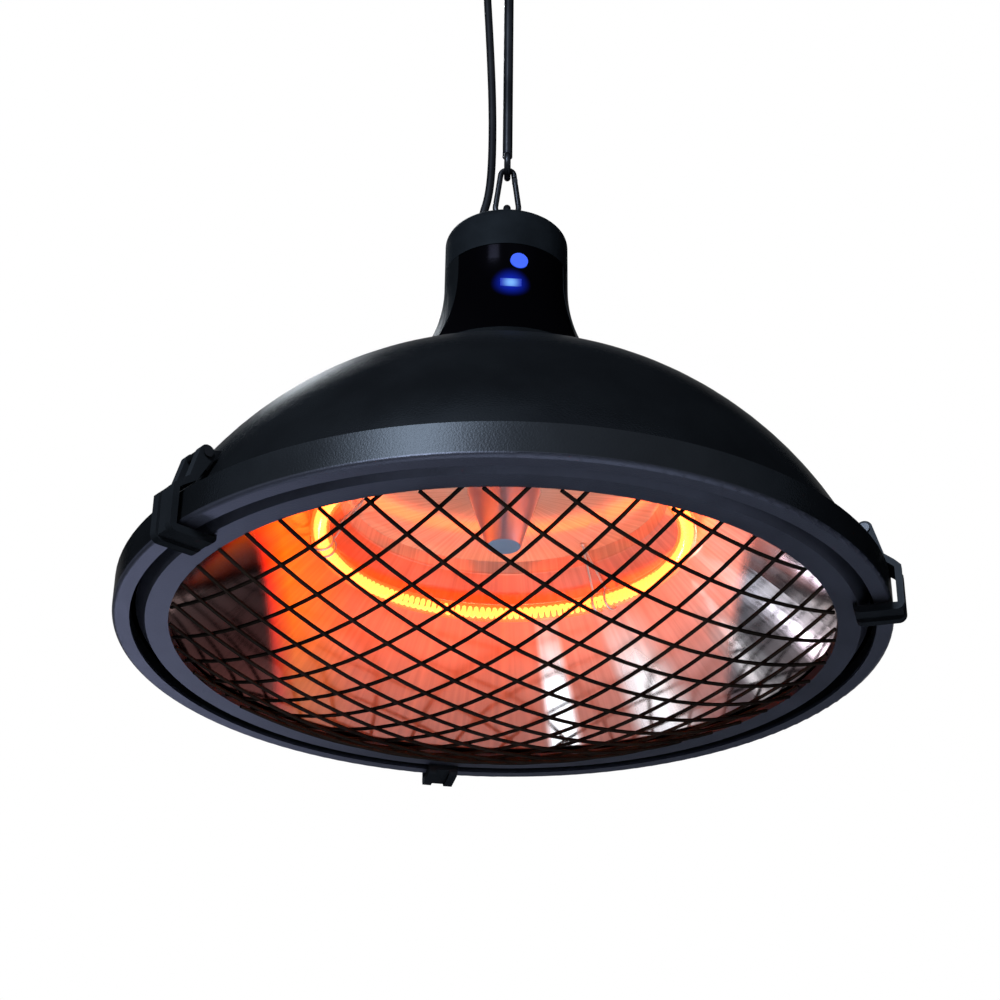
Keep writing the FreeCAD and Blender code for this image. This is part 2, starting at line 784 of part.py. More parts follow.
# Tube hangers: bent wire, two loops round the tube and two legs up to the reflector's plate
def tube_hanger():
    wire = size.hanger_wire.value / 2
    loop = size.tube_radius.value + wire + size.seat_gap.value
    spread = size.hanger_spread.value / 2
    swing = spread / ring_radius.value
    root_radius = size.plate_radius - size.hanger_inset
    root = FreeCAD.Vector(root_radius.value, 0, (plate_height - size.seat_gap).value)
    parts = [Part.makeSphere(2 * wire, root, FreeCAD.Vector(0, 0, -1), 0, QUARTER_TURN)]
    for side in (1, -1):
        along = FreeCAD.Vector(-math.sin(swing * side), math.cos(swing * side), 0)
        hub = FreeCAD.Vector(math.cos(swing), math.sin(swing * side), 0) * ring_radius.value
        hub.z = ring_height.value
        parts.append(Part.makeTorus(loop, wire, hub, along))
        out = FreeCAD.Vector(along.y, -along.x, 0)
        tilt = math.radians(QUARTER_TURN + QUARTER_TURN / 2)
        top = hub + (out * math.cos(tilt) + FreeCAD.Vector(0, 0, 1) * math.sin(tilt)) * loop
        foot = root - FreeCAD.Vector(0, 0, wire)
        parts.append(Part.makeCylinder(wire, (top - foot).Length, foot, top - foot))
    return parts[0].multiFuse(parts[1:]).Solids[0]


hangers = []
for azimuth in HANGER_AZIMUTHS:
    copy = tube_hanger()
    copy.rotate(FreeCAD.Vector(), FreeCAD.Vector(0, 0, 1), azimuth)
    hangers.append(copy)
hang(formed("tube_hanger_set", Part.makeCompound(hangers)), "tube_hangers")

# Through bolts, spacers and heat shield that hang the reflector from the mounting disc
bolt_top = deck_top + size.nut_height + size.bolt_radius


def at_bolts(name, maker):
    """One piece at each bolt of the circle."""
    copies = []
    for index in range(3):
        across, along = on_circle(size.bolt_circle, index * FULL_TURN / 3)
        copies.append(maker(f"{name}_{index}", across, along))
    return group(f"{name}_set", copies)


def bolt(name, across, along):
    head_up = plate_height - size.bolt_head_height
    head = rod(f"{name}_head", size.bolt_head, size.bolt_head_height, across, along, head_up)
    shank = rod(f"{name}_shank", size.bolt_radius, bolt_top - head_up, across, along, head_up)
    return fused(name, head, shank)


def spacer(foot, top):
    def make(name, across, along):
        wall = rod(f"{name}_wall", size.spacer_radius, top - foot, across, along, foot)
        bore = rod(f"{name}_bore", size.bolt_radius + size.seat_gap, top - foot, across, along, foot)
        return less(name, wall, bore)
    return make


def bolt_nut(name, across, along):
    body = hexagon(f"{name}_hex", size.nut_radius, size.nut_height, across, along, deck_top)
    bore = rod(f"{name}_bore", size.bolt_radius + size.running_gap, size.nut_height, across, along, deck_top)
    return less(name, body, bore)


hang(at_bolts("reflector_bolt", bolt), "reflector_bolts")
hang(at_bolts("lower_spacer", spacer(plate_top, shield_height)), "lower_spacers")
hang(at_bolts("upper_spacer", spacer(shield_top, disc_under)), "upper_spacers")
hang(at_bolts("bolt_nut", bolt_nut), "bolt_nuts")
heat_shield = turned("heat_shield_body", [
    (size.stud_radius, shield_height),
    (size.shield_radius, shield_height),
    (size.shield_radius, shield_top),
    (size.stud_radius, shield_top),
])
drill(heat_shield, size.bolt_circle, screw_hole, count=3)
hang(heat_shield, "heat_shield")
mounting_disc = turned("mounting_disc_body", [
    (size.stud_radius, disc_under),
    (size.disc_radius, disc_under),
    (size.disc_radius, deck_top),
    (size.stud_radius, deck_top),
])
drill(mounting_disc, size.bolt_circle, screw_hole, count=3)
drill(mounting_disc, size.screw_circle, screw_hole, count=3)
way_x, way_y = on_circle(size.wire_hole_circle, TUBE_GAP_AZIMUTH)
disc_way = rod("disc_way", size.wire_hole, size.disc_wall + size.overrun, way_x, way_y, disc_under)
hang(less("mounting_disc_cut", mounting_disc, disc_way), "mounting_disc")

# Neck housing: flared casting on the dome's flat land, with a pocket for the receiver window
neck_seam_height = land_height + size.neck_tall
neck_waist_height = neck_seam_height - size.neck_straight
window_foot_height = neck_seam_height - size.window_tall
lens_height = neck_seam_height - size.lens_drop
bar_height = neck_seam_height - size.bar_drop
board_foot_height = deck_top + size.board_rise
flare_centre = size.neck_radius + size.neck_flare
flare_inside = size.neck_flare + size.neck_wall
foot_inside = size.neck_foot - size.neck_wall


def flare_height(radius, flare):
    """Height where the flare reaches a radius."""
    side = flare_centre - radius
    return neck_waist_height - (flare * flare - side * side).root()


def flare_reach(height, flare):
    """Radius of the flare at a height."""
    drop = neck_waist_height - height
    return flare_centre - (flare * flare - drop * drop).root()


spigot_outer = size.neck_radius - size.cap_wall - size.seat_gap
neck_inside = size.neck_radius - size.neck_wall
neck_turned = turned("neck_body", [
    (size.neck_flange_bore, land_height),
    (size.neck_foot, land_height),
    (size.neck_foot, flare_height(size.neck_foot, size.neck_flare)),
    (size.neck_radius, neck_waist_height, size.neck_flare, -1),
    (size.neck_radius, neck_seam_height),
    (spigot_outer, neck_seam_height),
    (spigot_outer, neck_seam_height + size.neck_spigot),
    (neck_inside, neck_seam_height + size.neck_spigot),
    (neck_inside, neck_waist_height),
    (foot_inside, flare_height(foot_inside, flare_inside), flare_inside, 1),
    (foot_inside, land_height + size.neck_flange),
    (size.neck_flange_bore, land_height + size.neck_flange),
])


def window_slice(name, outside, inside, foot, top, angle):
    """A slice of the neck's wall between two depths, two heights and over an angle."""
    return turned(name, [
        (flare_reach(foot, outside), foot),
        (flare_centre - outside, neck_waist_height, outside, -1),
        (flare_centre - outside, top),
        (flare_centre - inside, top),
        (flare_centre - inside, neck_waist_height),
        (flare_reach(foot, inside), foot, inside, 1),
    ], angle)


window_floor = size.neck_flare + size.window_depth + size.seat_gap
pocket_angle = size.window_angle + size.seat_gap
window_pocket = window_slice("window_pocket", size.neck_flare - size.overrun, window_floor,
                             window_foot_height, neck_seam_height + size.seat_gap, pocket_angle)
place(window_pocket, turn=about_z(size.window_azimuth.value))
neck_holes = [rod(f"neck_hole_{index}", screw_hole, size.neck_flange,
                  *on_circle(size.screw_circle, index * FULL_TURN / 3), land_height) for index in range(3)]
facing_front = FreeCAD.Rotation(FreeCAD.Vector(0, 0, 1), FreeCAD.Vector(0, -1, 0))
receiver_up = board_foot_height + size.board_tall - size.receiver_radius * 2
receiver_way = rod("receiver_way", size.receiver_radius, size.neck_radius - size.board_offset,
                   -size.receiver_offset, -size.board_offset, receiver_up, facing_front)
hang(less("neck_cut", neck_turned, window_pocket, receiver_way, *neck_holes), "neck_housing")

# Receiver window: tinted glossy panel set flush in the neck, with holes for its two lights
window_blank = window_slice("window_blank", size.neck_flare + size.seat_gap,
                            size.neck_flare + size.window_depth, window_foot_height + size.seat_gap,
                            neck_seam_height - size.seat_gap, size.window_angle)
place(window_blank, turn=about_z(size.window_azimuth.value))


def facing_out(azimuth):
    """A turn that points +Z out of the neck and keeps +Y upright."""
    angle = math.radians(azimuth)
    out = FreeCAD.Vector(math.cos(angle), math.sin(angle), 0)
    side = FreeCAD.Vector(-out.y, out.x, 0)
    return FreeCAD.Rotation(side, FreeCAD.Vector(0, 0, 1), out, "ZXY")


def lens_bar(name, radius, seat, length):
    across, along = on_circle(seat, size.lens_azimuth.value)
    return rod(name, radius, length, across, along, lens_height, facing_out(size.lens_azimuth.value))


lens_seat = flare_reach(lens_height - size.lens_radius, window_floor) + size.seat_gap
lens_length = flare_reach(lens_height, size.neck_flare) - lens_seat + size.lens_proud
lens_hole = lens_bar("lens_hole", size.lens_radius + size.seat_gap, lens_seat - size.overrun,
                     size.overrun * 3)


def light_bar(name, grow, seat, length):
    """A block centred on the lower light, its length pointing out of the neck."""
    across, along = on_circle(seat, size.bar_azimuth.value)
    width = size.bar_width + grow * 2
    tall = size.bar_tall + grow * 2
    side_x, side_y = on_circle(width / 2, size.bar_azimuth.value + QUARTER_TURN)
    return block(name, width, tall, length, across - side_x, along - side_y, bar_height - tall / 2,
                 facing_out(size.bar_azimuth.value))


bar_seat = flare_reach(bar_height - size.bar_tall / 2, window_floor) + size.seat_gap
bar_length = flare_reach(bar_height, size.neck_flare) - bar_seat + size.lens_proud
bar_hole = light_bar("bar_hole", size.seat_gap, bar_seat - size.overrun, size.overrun * 3)
hang(less("window_cut", window_blank, lens_hole, bar_hole), "receiver_window")
hang(group("lens_set", [lens_bar("lens_button", size.lens_radius, lens_seat, lens_length)]), "indicator_lens")
hang(group("bar_set", [light_bar("light_pipe", ZERO, bar_seat, bar_length)]), "indicator_bar")

# Screws and nuts that clamp the neck, the dome and the mounting disc together
neck_screws = []
neck_nuts = []
screw_foot = disc_under - size.bolt_head_height
nut_seat = land_height + size.neck_flange
for index in range(3):
    screw_x, screw_y = on_circle(size.screw_circle, index * FULL_TURN / 3)
    screw_head = rod(f"neck_screw_head_{index}", size.bolt_head, size.bolt_head_height, screw_x, screw_y,
                     screw_foot)
    screw_shank = rod(f"neck_screw_shank_{index}", size.bolt_radius,
                      nut_seat + size.nut_height + size.bolt_radius / 2 - screw_foot, screw_x, screw_y,
                      screw_foot)
    neck_screws.append(fused(f"neck_screw_{index}", screw_head, screw_shank))
    nut_hex = hexagon(f"neck_nut_hex_{index}", size.nut_radius, size.nut_height, screw_x, screw_y, nut_seat)
    nut_bore = rod(f"neck_nut_bore_{index}", size.bolt_radius + size.running_gap, size.nut_height,
                   screw_x, screw_y, nut_seat)
    neck_nuts.append(less(f"neck_nut_{index}", nut_hex, nut_bore))
hang(group("neck_screw_set", neck_screws), "neck_screws")
hang(group("neck_nut_set", neck_nuts), "neck_nuts")

# Top cap: moulded cup over the neck's spigot
cap_foot = neck_seam_height + size.seat_gap
cap_top = neck_seam_height + size.cap_height
cap_inside = size.neck_radius - size.cap_wall
cap_roof = cap_top - size.cap_wall
cap_bend = size.cap_edge - size.cap_wall
top_cap = turned("top_cap_body", [
    (cap_inside, cap_foot),
    (size.neck_radius, cap_foot),
    (size.neck_radius, cap_top - size.cap_edge),
    (size.neck_radius - size.cap_edge, cap_top, size.cap_edge, 1),
    (size.eye_shank + size.seat_gap, cap_top),
    (size.eye_shank + size.seat_gap, cap_roof),
    (cap_inside - cap_bend, cap_roof),
    (cap_inside, cap_roof - cap_bend, cap_bend, -1),
])
drill(top_cap, size.gland_offset, size.gland_radius + size.seat_gap)
hang(top_cap, "top_cap", azimuth=FULL_TURN / 2)

# Electrics: terminal block, board on its bracket, relay, infrared receiver and thermal cut-out
block_body = block("block_body", size.block_width, size.block_length, size.block_tall,
                   size.block_offset, -(size.block_length / 2), deck_top)
WELL_PLACE_SHARES = (0.75, 0.3)
block_wells = []
for index in (-1, 0, 1):
    block_wells.append(rod(f"block_well_{index}", size.block_screw, size.block_tall,
                           size.block_offset + size.block_width * WELL_PLACE_SHARES[0],
                           size.block_length * WELL_PLACE_SHARES[1] * index,
                           deck_top + size.block_tall / 2))
hang(less("block_cut", block_body, *block_wells), "terminal_block")
board_face = -(size.board_offset + size.board_wall)
hang(group("board_set", [block("board", size.board_width, size.board_wall, size.board_tall,
                               -(size.board_width / 2), board_face, board_foot_height)]), "control_board")
bracket_back = block("bracket_back", size.bracket_width, size.bracket_wall, size.bracket_tall,
                     -(size.bracket_width / 2), -size.board_offset, deck_top)
bracket_gap = size.bracket_width - size.bracket_leg * 2
bracket_cut = block("bracket_window", bracket_gap, size.bracket_wall, size.bracket_tall / 2,
                    -(bracket_gap / 2), -size.board_offset, deck_top)
bracket_feet = [block(f"bracket_foot_{index}", size.bracket_leg, size.bracket_foot, size.bracket_wall, foot_x,
                      -(size.board_offset + size.bracket_foot) + size.bracket_wall, deck_top)
                for index, foot_x in enumerate((-(size.bracket_width / 2), bracket_gap / 2))]
hang(fused("bracket_bent", less("bracket_arch", bracket_back, bracket_cut), *bracket_feet), "board_bracket")
hang(group("relay_set", [block("relay_box", size.relay_width, size.relay_depth, size.relay_tall,
                               -(size.relay_width / 2), board_face - size.relay_depth, board_foot_height)]),
     "relay")
receiver_bulb = rod("receiver_bulb", size.receiver_radius, size.receiver_depth, -size.receiver_offset,
                    board_face, receiver_up, facing_front)
hang(group("receiver_set", [receiver_bulb]), "infrared_receiver")
cutout_can = rod("cutout_can", size.cutout_radius, size.cutout_tall, -size.cutout_offset, ZERO, plate_top)
cutout_tabs = block("cutout_tabs", size.cutout_tab_length, size.cutout_tab_width, size.cutout_tab_wall,
                    -(size.cutout_offset + size.cutout_tab_length / 2), -(size.cutout_tab_width / 2),
                    plate_top + size.cutout_tall / 2)
hang(fused("cutout_whole", cutout_can, cutout_tabs), "thermal_cutout")

# Eye bolt with its washer and nut, through the middle of the cap
eye_height = cap_top + size.eye_rise
upright_x = FreeCAD.Rotation(FreeCAD.Vector(0, 0, 1), FreeCAD.Vector(1, 0, 0))
eye_loop = ring("eye_loop", size.eye_radius, size.eye_wire, eye_height, upright_x)
eye_collar = rod("eye_collar_disc", size.eye_collar, size.eye_collar_height, up=cap_top)
eye_shank = rod("eye_shank_bar", size.eye_shank, size.eye_shank_length + size.eye_collar_height,
                up=cap_top - size.eye_shank_length)
hang(fused("eye_whole", eye_loop, eye_collar, eye_shank), "eye_bolt")
washer_foot = cap_roof - size.washer_wall
eye_bore = size.eye_shank + size.running_gap
washer_disc = rod("washer_disc", size.washer_radius, size.washer_wall, up=washer_foot)
washer_bore = rod("washer_bore", eye_bore, size.washer_wall, up=washer_foot)
hang(less("washer_cut", washer_disc, washer_bore), "eye_washer")
eye_nut_foot = washer_foot - size.eye_nut_height
eye_nut_hex = hexagon("eye_nut_hex", size.eye_nut, size.eye_nut_height, up=eye_nut_foot)
eye_nut_bore = rod("eye_nut_bore", eye_bore, size.eye_nut_height, up=eye_nut_foot)
hang(less("eye_nut_cut", eye_nut_hex, eye_nut_bore), "eye_nut")


def gland(name, seat, side):
    """A cable gland on a seat, its nose up (side 1) or down (side -1)."""
    hex_foot = seat if side > 0 else seat - size.gland_hex_height
    tail_foot = seat - size.gland_tail if side > 0 else seat
    nose_seat = seat + size.gland_hex_height * side
    hex_bar = hexagon(f"{name}_hex", size.gland_hex, size.gland_hex_height, -size.gland_offset, ZERO,
                      hex_foot)
    tail = rod(f"{name}_tail", size.gland_radius, size.gland_tail, -size.gland_offset, ZERO, tail_foot)
    nose = bind(doc.addObject("Part::Cone", f"{name}_nose"), Height=size.gland_nose,
                Radius1=size.gland_nose_root, Radius2=size.gland_nose_tip)
    place(nose, -size.gland_offset, ZERO, nose_seat,
          FreeCAD.Rotation(FreeCAD.Vector(1, 0, 0), 0 if side > 0 else FULL_TURN / 2))
    return fused(f"{name}_whole", hex_bar, tail, nose)


hang(gland("cap_gland_body", cap_top, 1), "cap_gland")
gland_nut_foot = cap_roof - size.gland_nut_height
gland_nut_hex = hexagon("gland_nut_hex", size.gland_nut, size.gland_nut_height, -size.gland_offset, ZERO,
                        gland_nut_foot)
gland_nut_bore = rod("gland_nut_bore", size.gland_radius + size.running_gap, size.gland_nut_height,
                     -size.gland_offset, ZERO, gland_nut_foot)
hang(less("gland_nut_cut", gland_nut_hex, gland_nut_bore), "gland_locknut")

# Snap hook: pear-shaped loop of round wire in the plane of the sweep, open on its right for the gate
hook_low = eye_height + size.eye_radius - (size.eye_wire + size.hook_wire) / 2 - size.moving_gap
hook_bottom_height = hook_low + size.hook_bottom_radius
hook_top_height = hook_bottom_height + size.hook_reach
hook_high = hook_top_height + size.hook_top_radius
bottom_radius = size.hook_bottom_radius.value
top_radius = size.hook_top_radius.value
leg_lean = math.asin((bottom_radius - top_radius) / size.hook_reach.value)
top_centre = FreeCAD.Vector(0, 0, hook_top_height.value)
bottom_centre = FreeCAD.Vector(0, 0, hook_bottom_height.value)
left_side = FreeCAD.Vector(-math.cos(leg_lean), 0, math.sin(leg_lean))
right_side = FreeCAD.Vector(math.cos(leg_lean), 0, math.sin(leg_lean))
leg_down = FreeCAD.Vector(math.sin(leg_lean), 0, -math.cos(leg_lean))
straight_up = FreeCAD.Vector(0, 0, 1)
gate_top = top_centre + right_side * top_radius
gate_foot = bottom_centre + right_side * bottom_radius
gate_hinge = gate_top + leg_down * size.gate_hinge_drop.value
gate_turn = FreeCAD.Rotation(straight_up, leg_down)
knuckle = size.gate_knuckle.value
gap = size.moving_gap.value
wire_radius = size.hook_wire.value / 2


def gate_block(length, width, along):
    """A block round the gate's line, from a point along it counted from the hinge."""
    span = size.hook_wire.value + size.overrun.value
    box = Part.makeBox(span, width, length, FreeCAD.Vector(-span / 2, -width / 2, along))
    box.Placement = FreeCAD.Placement(gate_hinge, gate_turn)
    return box


def cross_pin(radius, length):
    near_end = gate_hinge - FreeCAD.Vector(0, length / 2, 0)
    return Part.makeCylinder(radius, length, near_end, FreeCAD.Vector(0, 1, 0))


def hook_shape():
    back_top = top_centre + left_side * top_radius
    back_foot = bottom_centre + left_side * bottom_radius
    path = Part.Wire([
        Part.LineSegment(gate_hinge + leg_down * (knuckle + gap / 2), gate_top).toShape(),
        Part.Arc(gate_top, top_centre + straight_up * top_radius, back_top).toShape(),
        Part.LineSegment(back_top, back_foot).toShape(),
        Part.Arc(back_foot, bottom_centre - straight_up * bottom_radius, gate_foot).toShape(),
    ])
    wire = round_bar(path, wire_radius)
    shoulder = knuckle + gap
    clear = gate_block(2 * shoulder, size.hook_wire.value + size.overrun.value, -shoulder)
    clear = clear.cut(gate_block(2 * shoulder, size.gate_tongue.value, -shoulder))
    corners = gate_block(2 * shoulder, size.hook_wire.value + size.overrun.value, 0)
    corners = corners.cut(cross_pin(knuckle, size.hook_wire.value * 2))
    bore = cross_pin(size.gate_pin.value + size.running_gap.value, size.hook_wire.value)
    return wire.cut(clear).cut(corners).cut(bore)


def gate_shape():
    length = (gate_foot - gate_hinge).Length - gap
    bar = Part.makeCylinder(wire_radius, length, gate_hinge, leg_down)
    cheek = Part.makeCylinder(wire_radius, size.hook_wire.value,
                              gate_hinge - FreeCAD.Vector(0, wire_radius, 0), FreeCAD.Vector(0, 1, 0))
    slot = gate_block(2 * knuckle + 2 * gap, size.gate_slot.value, -knuckle - gap)
    gate = bar.fuse(cheek).removeSplitter().cut(slot)
    return gate.cut(cross_pin(size.gate_pin.value + size.running_gap.value, size.hook_wire.value * 2))


hang(formed("hook_wire_loop", hook_shape()), "snap_hook")
hang(formed("gate_bar", gate_shape()), "snap_hook_gate")
hang(formed("gate_cross_pin", cross_pin(size.gate_pin.value, size.hook_wire.value)), "gate_pin")

# Drop rod with a welded eye, its two nuts, the ceiling plate and the ceiling gland
rod_eye_height = hook_high - (size.hook_wire + size.rod_eye_wire) / 2 - size.moving_gap + size.rod_eye_radius
rod_foot = rod_eye_height + size.rod_eye_radius
rod_loop = ring("rod_loop", size.rod_eye_radius, size.rod_eye_wire, rod_eye_height, upright_x)
rod_bar = rod("rod_bar", size.rod_radius, size.hang_height - size.seat_gap - rod_foot, up=rod_foot)
hang(fused("rod_whole", rod_loop, rod_bar), "drop_rod")
plate_under = size.hang_height - size.plate_wall
pocket_floor = size.hang_height - size.plate_pocket_depth
ceiling_plate = turned("ceiling_plate_body", [
    (size.rod_radius + size.seat_gap, plate_under),
    (size.plate_disc - size.plate_edge, plate_under),
    (size.plate_disc, plate_under + size.plate_edge, size.plate_edge, 1),
    (size.plate_disc, size.hang_height),
    (size.plate_pocket, size.hang_height),
    (size.plate_pocket, pocket_floor),
    (size.rod_radius + size.seat_gap, pocket_floor),
])
drill(ceiling_plate, size.gland_offset, size.gland_radius + size.seat_gap)
drill(ceiling_plate, size.plate_screw_circle, size.plate_screw, count=3)
hang(ceiling_plate, "ceiling_plate", azimuth=FULL_TURN / 2)
rod_nuts = []
for nut_name, nut_foot in (("upper_rod_nut", pocket_floor),
                           ("lower_rod_nut", plate_under - size.rod_nut_height)):
    nut_hex = hexagon(f"{nut_name}_hex", size.rod_nut, size.rod_nut_height, up=nut_foot)
    nut_bore = rod(f"{nut_name}_bore", size.rod_radius + size.running_gap, size.rod_nut_height, up=nut_foot)
    rod_nuts.append(less(nut_name, nut_hex, nut_bore))
hang(group("rod_nut_pair", rod_nuts), "rod_nuts")
ceiling_gland_body = gland("ceiling_gland_body", plate_under, -1)
hang(ceiling_gland_body, "ceiling_gland")

# Power cable: from the cap gland up beside the hook to the ceiling gland
gland_reach = size.gland_hex_height + size.gland_nose
cable_foot = FreeCAD.Vector(-size.gland_offset.value, 0, (cap_top + gland_reach).value)
cable_head = FreeCAD.Vector(-size.gland_offset.value, 0, (plate_under - gland_reach).value)
CABLE_ROUTE_SHARES = [(1, 0.037), (0.827, 0.102), (0.667, 0.215), (0.647, 0.405), (0.773, 0.63),
                      (0.933, 0.82), (1, 0.937)]
cable_points = [cable_foot]
for aside_share, height_share in CABLE_ROUTE_SHARES:
    bend_point = cable_foot + (cable_head - cable_foot) * height_share
    bend_point.x = cable_foot.x * aside_share
    cable_points.append(bend_point)
cable_points.append(cable_head)
hang(formed("power_cable_tube", cable("power_cable", cable_points, size.cable_radius.value)), "power_cable")

# Supply lead: the cable's inner run, from the cap gland's tail down to the terminal block
lead_head = FreeCAD.Vector(-size.gland_offset.value, 0, (cap_top - size.gland_tail).value)
lead_foot = FreeCAD.Vector((size.block_offset + size.block_width / 4).value, 0,
                           (deck_top + size.block_tall).value)
SUPPLY_ROUTE_SHARES = [(0, 0, 0.084), (0.098, 0.267, 0.256), (0.415, 0.533, 0.486), (0.78, 0.4, 0.692),
                       (1, 0, 0.876)]
supply_points = [lead_head]
for across_share, aside_share, drop_share in SUPPLY_ROUTE_SHARES:
    supply_points.append(FreeCAD.Vector(
        lead_head.x + (lead_foot.x - lead_head.x) * across_share,
        size.gland_offset.value * aside_share,
        lead_head.z + (lead_foot.z - lead_head.z) * drop_share))
supply_points.append(lead_foot)
hang(formed("supply_lead_tube", cable("supply_lead", supply_points, size.cable_radius.value)), "supply_lead")

# Latches: moulded channels on pins at the dome, their feet hooked under the guard ring
latch_pin_height = size.lip_height + size.latch_pin_rise
latch_neck_height = size.lip_height + size.latch_neck_rise
latch_neck = size.lip_radius - size.latch_neck_inset
latch_crest = size.lip_height + size.latch_crest_rise
pin_reach = dome_radius + size.latch_pin_stand
pin_drop = latch_pin_height - dome_centre
pin_radius = (pin_reach * pin_reach - pin_drop * pin_drop).root()
arm_inside = size.lip_radius + size.latch_gap
arm_outside = arm_inside + size.latch_arm
toe = size.lip_radius - size.latch_reach
depth = size.latch_depth
lean_across = math.cos(math.radians(size.finger_lean.value))
lean_up = math.sin(math.radians(size.finger_lean.value))
pin_up = depth + latch_pin_height
ledge_up = depth + size.lip_height


def latch(label, azimuth):
    """One latch, drawn in its radial plane with heights counted up from its underside."""
    web_top = depth + latch_neck_height - size.latch_web
    body = padded(f"{label}_body", [
        (toe, depth - size.latch_toe_gap),
        (toe, size.latch_toe),
        (toe + size.latch_toe, ZERO, size.latch_toe, 1),
        (arm_outside - size.latch_heel, ZERO),
        (arm_outside, size.latch_heel, size.latch_heel, 1),
        (arm_outside, depth + latch_crest),
        (arm_inside, depth + latch_crest + size.latch_fall),
        (latch_neck, depth + latch_neck_height),
        (pin_radius + size.latch_knuckle * lean_across, pin_up + size.latch_knuckle * lean_up),
        (pin_radius - size.latch_knuckle * lean_up, pin_up + size.latch_knuckle * lean_across,
         size.latch_knuckle, 1),
        (pin_radius - size.latch_knuckle * lean_across, pin_up - size.latch_knuckle * lean_up,
         size.latch_knuckle, 1),
        (latch_neck - size.latch_knuckle, web_top),
        (arm_inside - size.latch_web, ledge_up + size.latch_web),
        (arm_inside, ledge_up),
        (arm_inside, depth - size.latch_relief - size.latch_toe_gap),
        (guard_outer - size.guard_wall, depth - size.latch_relief - size.latch_toe_gap),
        (guard_outer - size.guard_wall, depth - size.latch_toe_gap),
    ], size.latch_width)
    top = pin_up + size.latch_knuckle + size.overrun
    channel = draw(body, "XZ_Plane", [
        (arm_outside - size.latch_rib, size.latch_foot),
        (arm_outside - size.latch_rib, web_top),
        (pin_radius - size.latch_knuckle * 2, web_top),
        (pin_radius - size.latch_knuckle * 2, top),
        (arm_outside + size.overrun, top),
        (arm_outside + size.overrun, -size.overrun),
        (toe - size.overrun, -size.overrun),
        (toe - size.overrun, size.latch_foot),
    ])
    doc.recompute()
    cut_away(body, channel, size.latch_channel)
    drill(body, pin_radius, size.latch_pin + size.running_gap, role="XZ_Plane", up=pin_up)
    hang(body, label, azimuth, up=-depth)


def latch_lug(azimuth):
    """A steel lug welded to the dome between a latch's two fingers."""
    seat = dome_radius + size.running_gap
    low = latch_pin_height - size.lug_foot
    high = latch_pin_height + size.lug_foot
    low_reach = (seat * seat - (low - dome_centre) * (low - dome_centre)).root()
    high_reach = (seat * seat - (high - dome_centre) * (high - dome_centre)).root()
    body = padded(f"lug_{azimuth}_body", [
        (low_reach, low, seat, -1),
        (pin_radius + size.lug_knuckle * lean_across, latch_pin_height - size.lug_knuckle * lean_up),
        (pin_radius + size.lug_knuckle * lean_up, latch_pin_height + size.lug_knuckle * lean_across,
         size.lug_knuckle, 1),
        (high_reach, high),
    ], size.lug_width)
    drill(body, pin_radius, size.latch_pin + size.running_gap, role="XZ_Plane", up=latch_pin_height)
    return place(body, turn=about_z(azimuth))


def latch_pin(azimuth):
    """A headed pin through a lug and the two fingers beside it."""
    lie = FreeCAD.Rotation(FreeCAD.Vector(0, 0, 1), FreeCAD.Vector(-math.sin(math.radians(azimuth)),
                                                                   math.cos(math.radians(azimuth)), 0))
    half = size.latch_width / 2 + size.moving_gap
    head = size.latch_pin_head_height
    bars = []
    for name, radius, length, start in (
            ("shank", size.latch_pin, half * 2, -half),
            ("near_head", size.latch_pin_head, head, -half - head),
            ("far_head", size.latch_pin_head, head, half)):
        across, along = on_circle(pin_radius, azimuth)
        side_x, side_y = on_circle(start, azimuth + QUARTER_TURN)
        bars.append(rod(f"pin_{azimuth}_{name}", radius, length, across + side_x, along + side_y,
                        latch_pin_height, lie))
    return fused(f"pin_{azimuth}", *bars)


for latch_label, latch_azimuth in LATCH_AZIMUTHS.items():
    latch(latch_label, latch_azimuth)
hang(group("lug_set", [latch_lug(azimuth) for azimuth in LATCH_AZIMUTHS.values()]), "latch_lugs")
hang(group("latch_pin_set", [latch_pin(azimuth) for azimuth in LATCH_AZIMUTHS.values()]), "latch_pins")

# Check every feature and write one file for each piece
doc.recompute()
for thing in doc.Objects:
    if "Invalid" in thing.State or "Error" in thing.State:
        raise ValueError(f"{thing.Name} failed: {thing.State}")
for piece in pieces:
    if piece.Shape.isNull() or not piece.Shape.isValid():
        raise ValueError(f"{piece.Label}: bad shape")
for piece in pieces:
    piece.Shape.exportStep(f"parts/{piece.Label}.step")
print(len(pieces), "pieces")
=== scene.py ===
import math

import bpy
from mathutils import Matrix, Vector


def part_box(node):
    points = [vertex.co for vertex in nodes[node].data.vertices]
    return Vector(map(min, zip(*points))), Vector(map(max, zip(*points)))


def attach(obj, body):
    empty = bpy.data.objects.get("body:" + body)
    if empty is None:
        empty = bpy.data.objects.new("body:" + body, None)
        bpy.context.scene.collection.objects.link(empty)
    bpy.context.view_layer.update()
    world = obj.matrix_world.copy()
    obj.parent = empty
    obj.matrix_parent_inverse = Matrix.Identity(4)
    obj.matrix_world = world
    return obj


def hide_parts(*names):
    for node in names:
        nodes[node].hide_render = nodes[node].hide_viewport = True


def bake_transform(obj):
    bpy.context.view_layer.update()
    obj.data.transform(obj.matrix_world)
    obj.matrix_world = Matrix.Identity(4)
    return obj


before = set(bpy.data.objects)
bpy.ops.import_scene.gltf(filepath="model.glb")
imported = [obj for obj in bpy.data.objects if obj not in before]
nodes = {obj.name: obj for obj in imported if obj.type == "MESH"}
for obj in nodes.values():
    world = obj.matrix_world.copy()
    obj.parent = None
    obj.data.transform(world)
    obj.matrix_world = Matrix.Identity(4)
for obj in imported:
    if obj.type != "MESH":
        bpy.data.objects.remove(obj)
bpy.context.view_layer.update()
scene = bpy.context.scene
scene.view_settings.view_transform = "Standard"

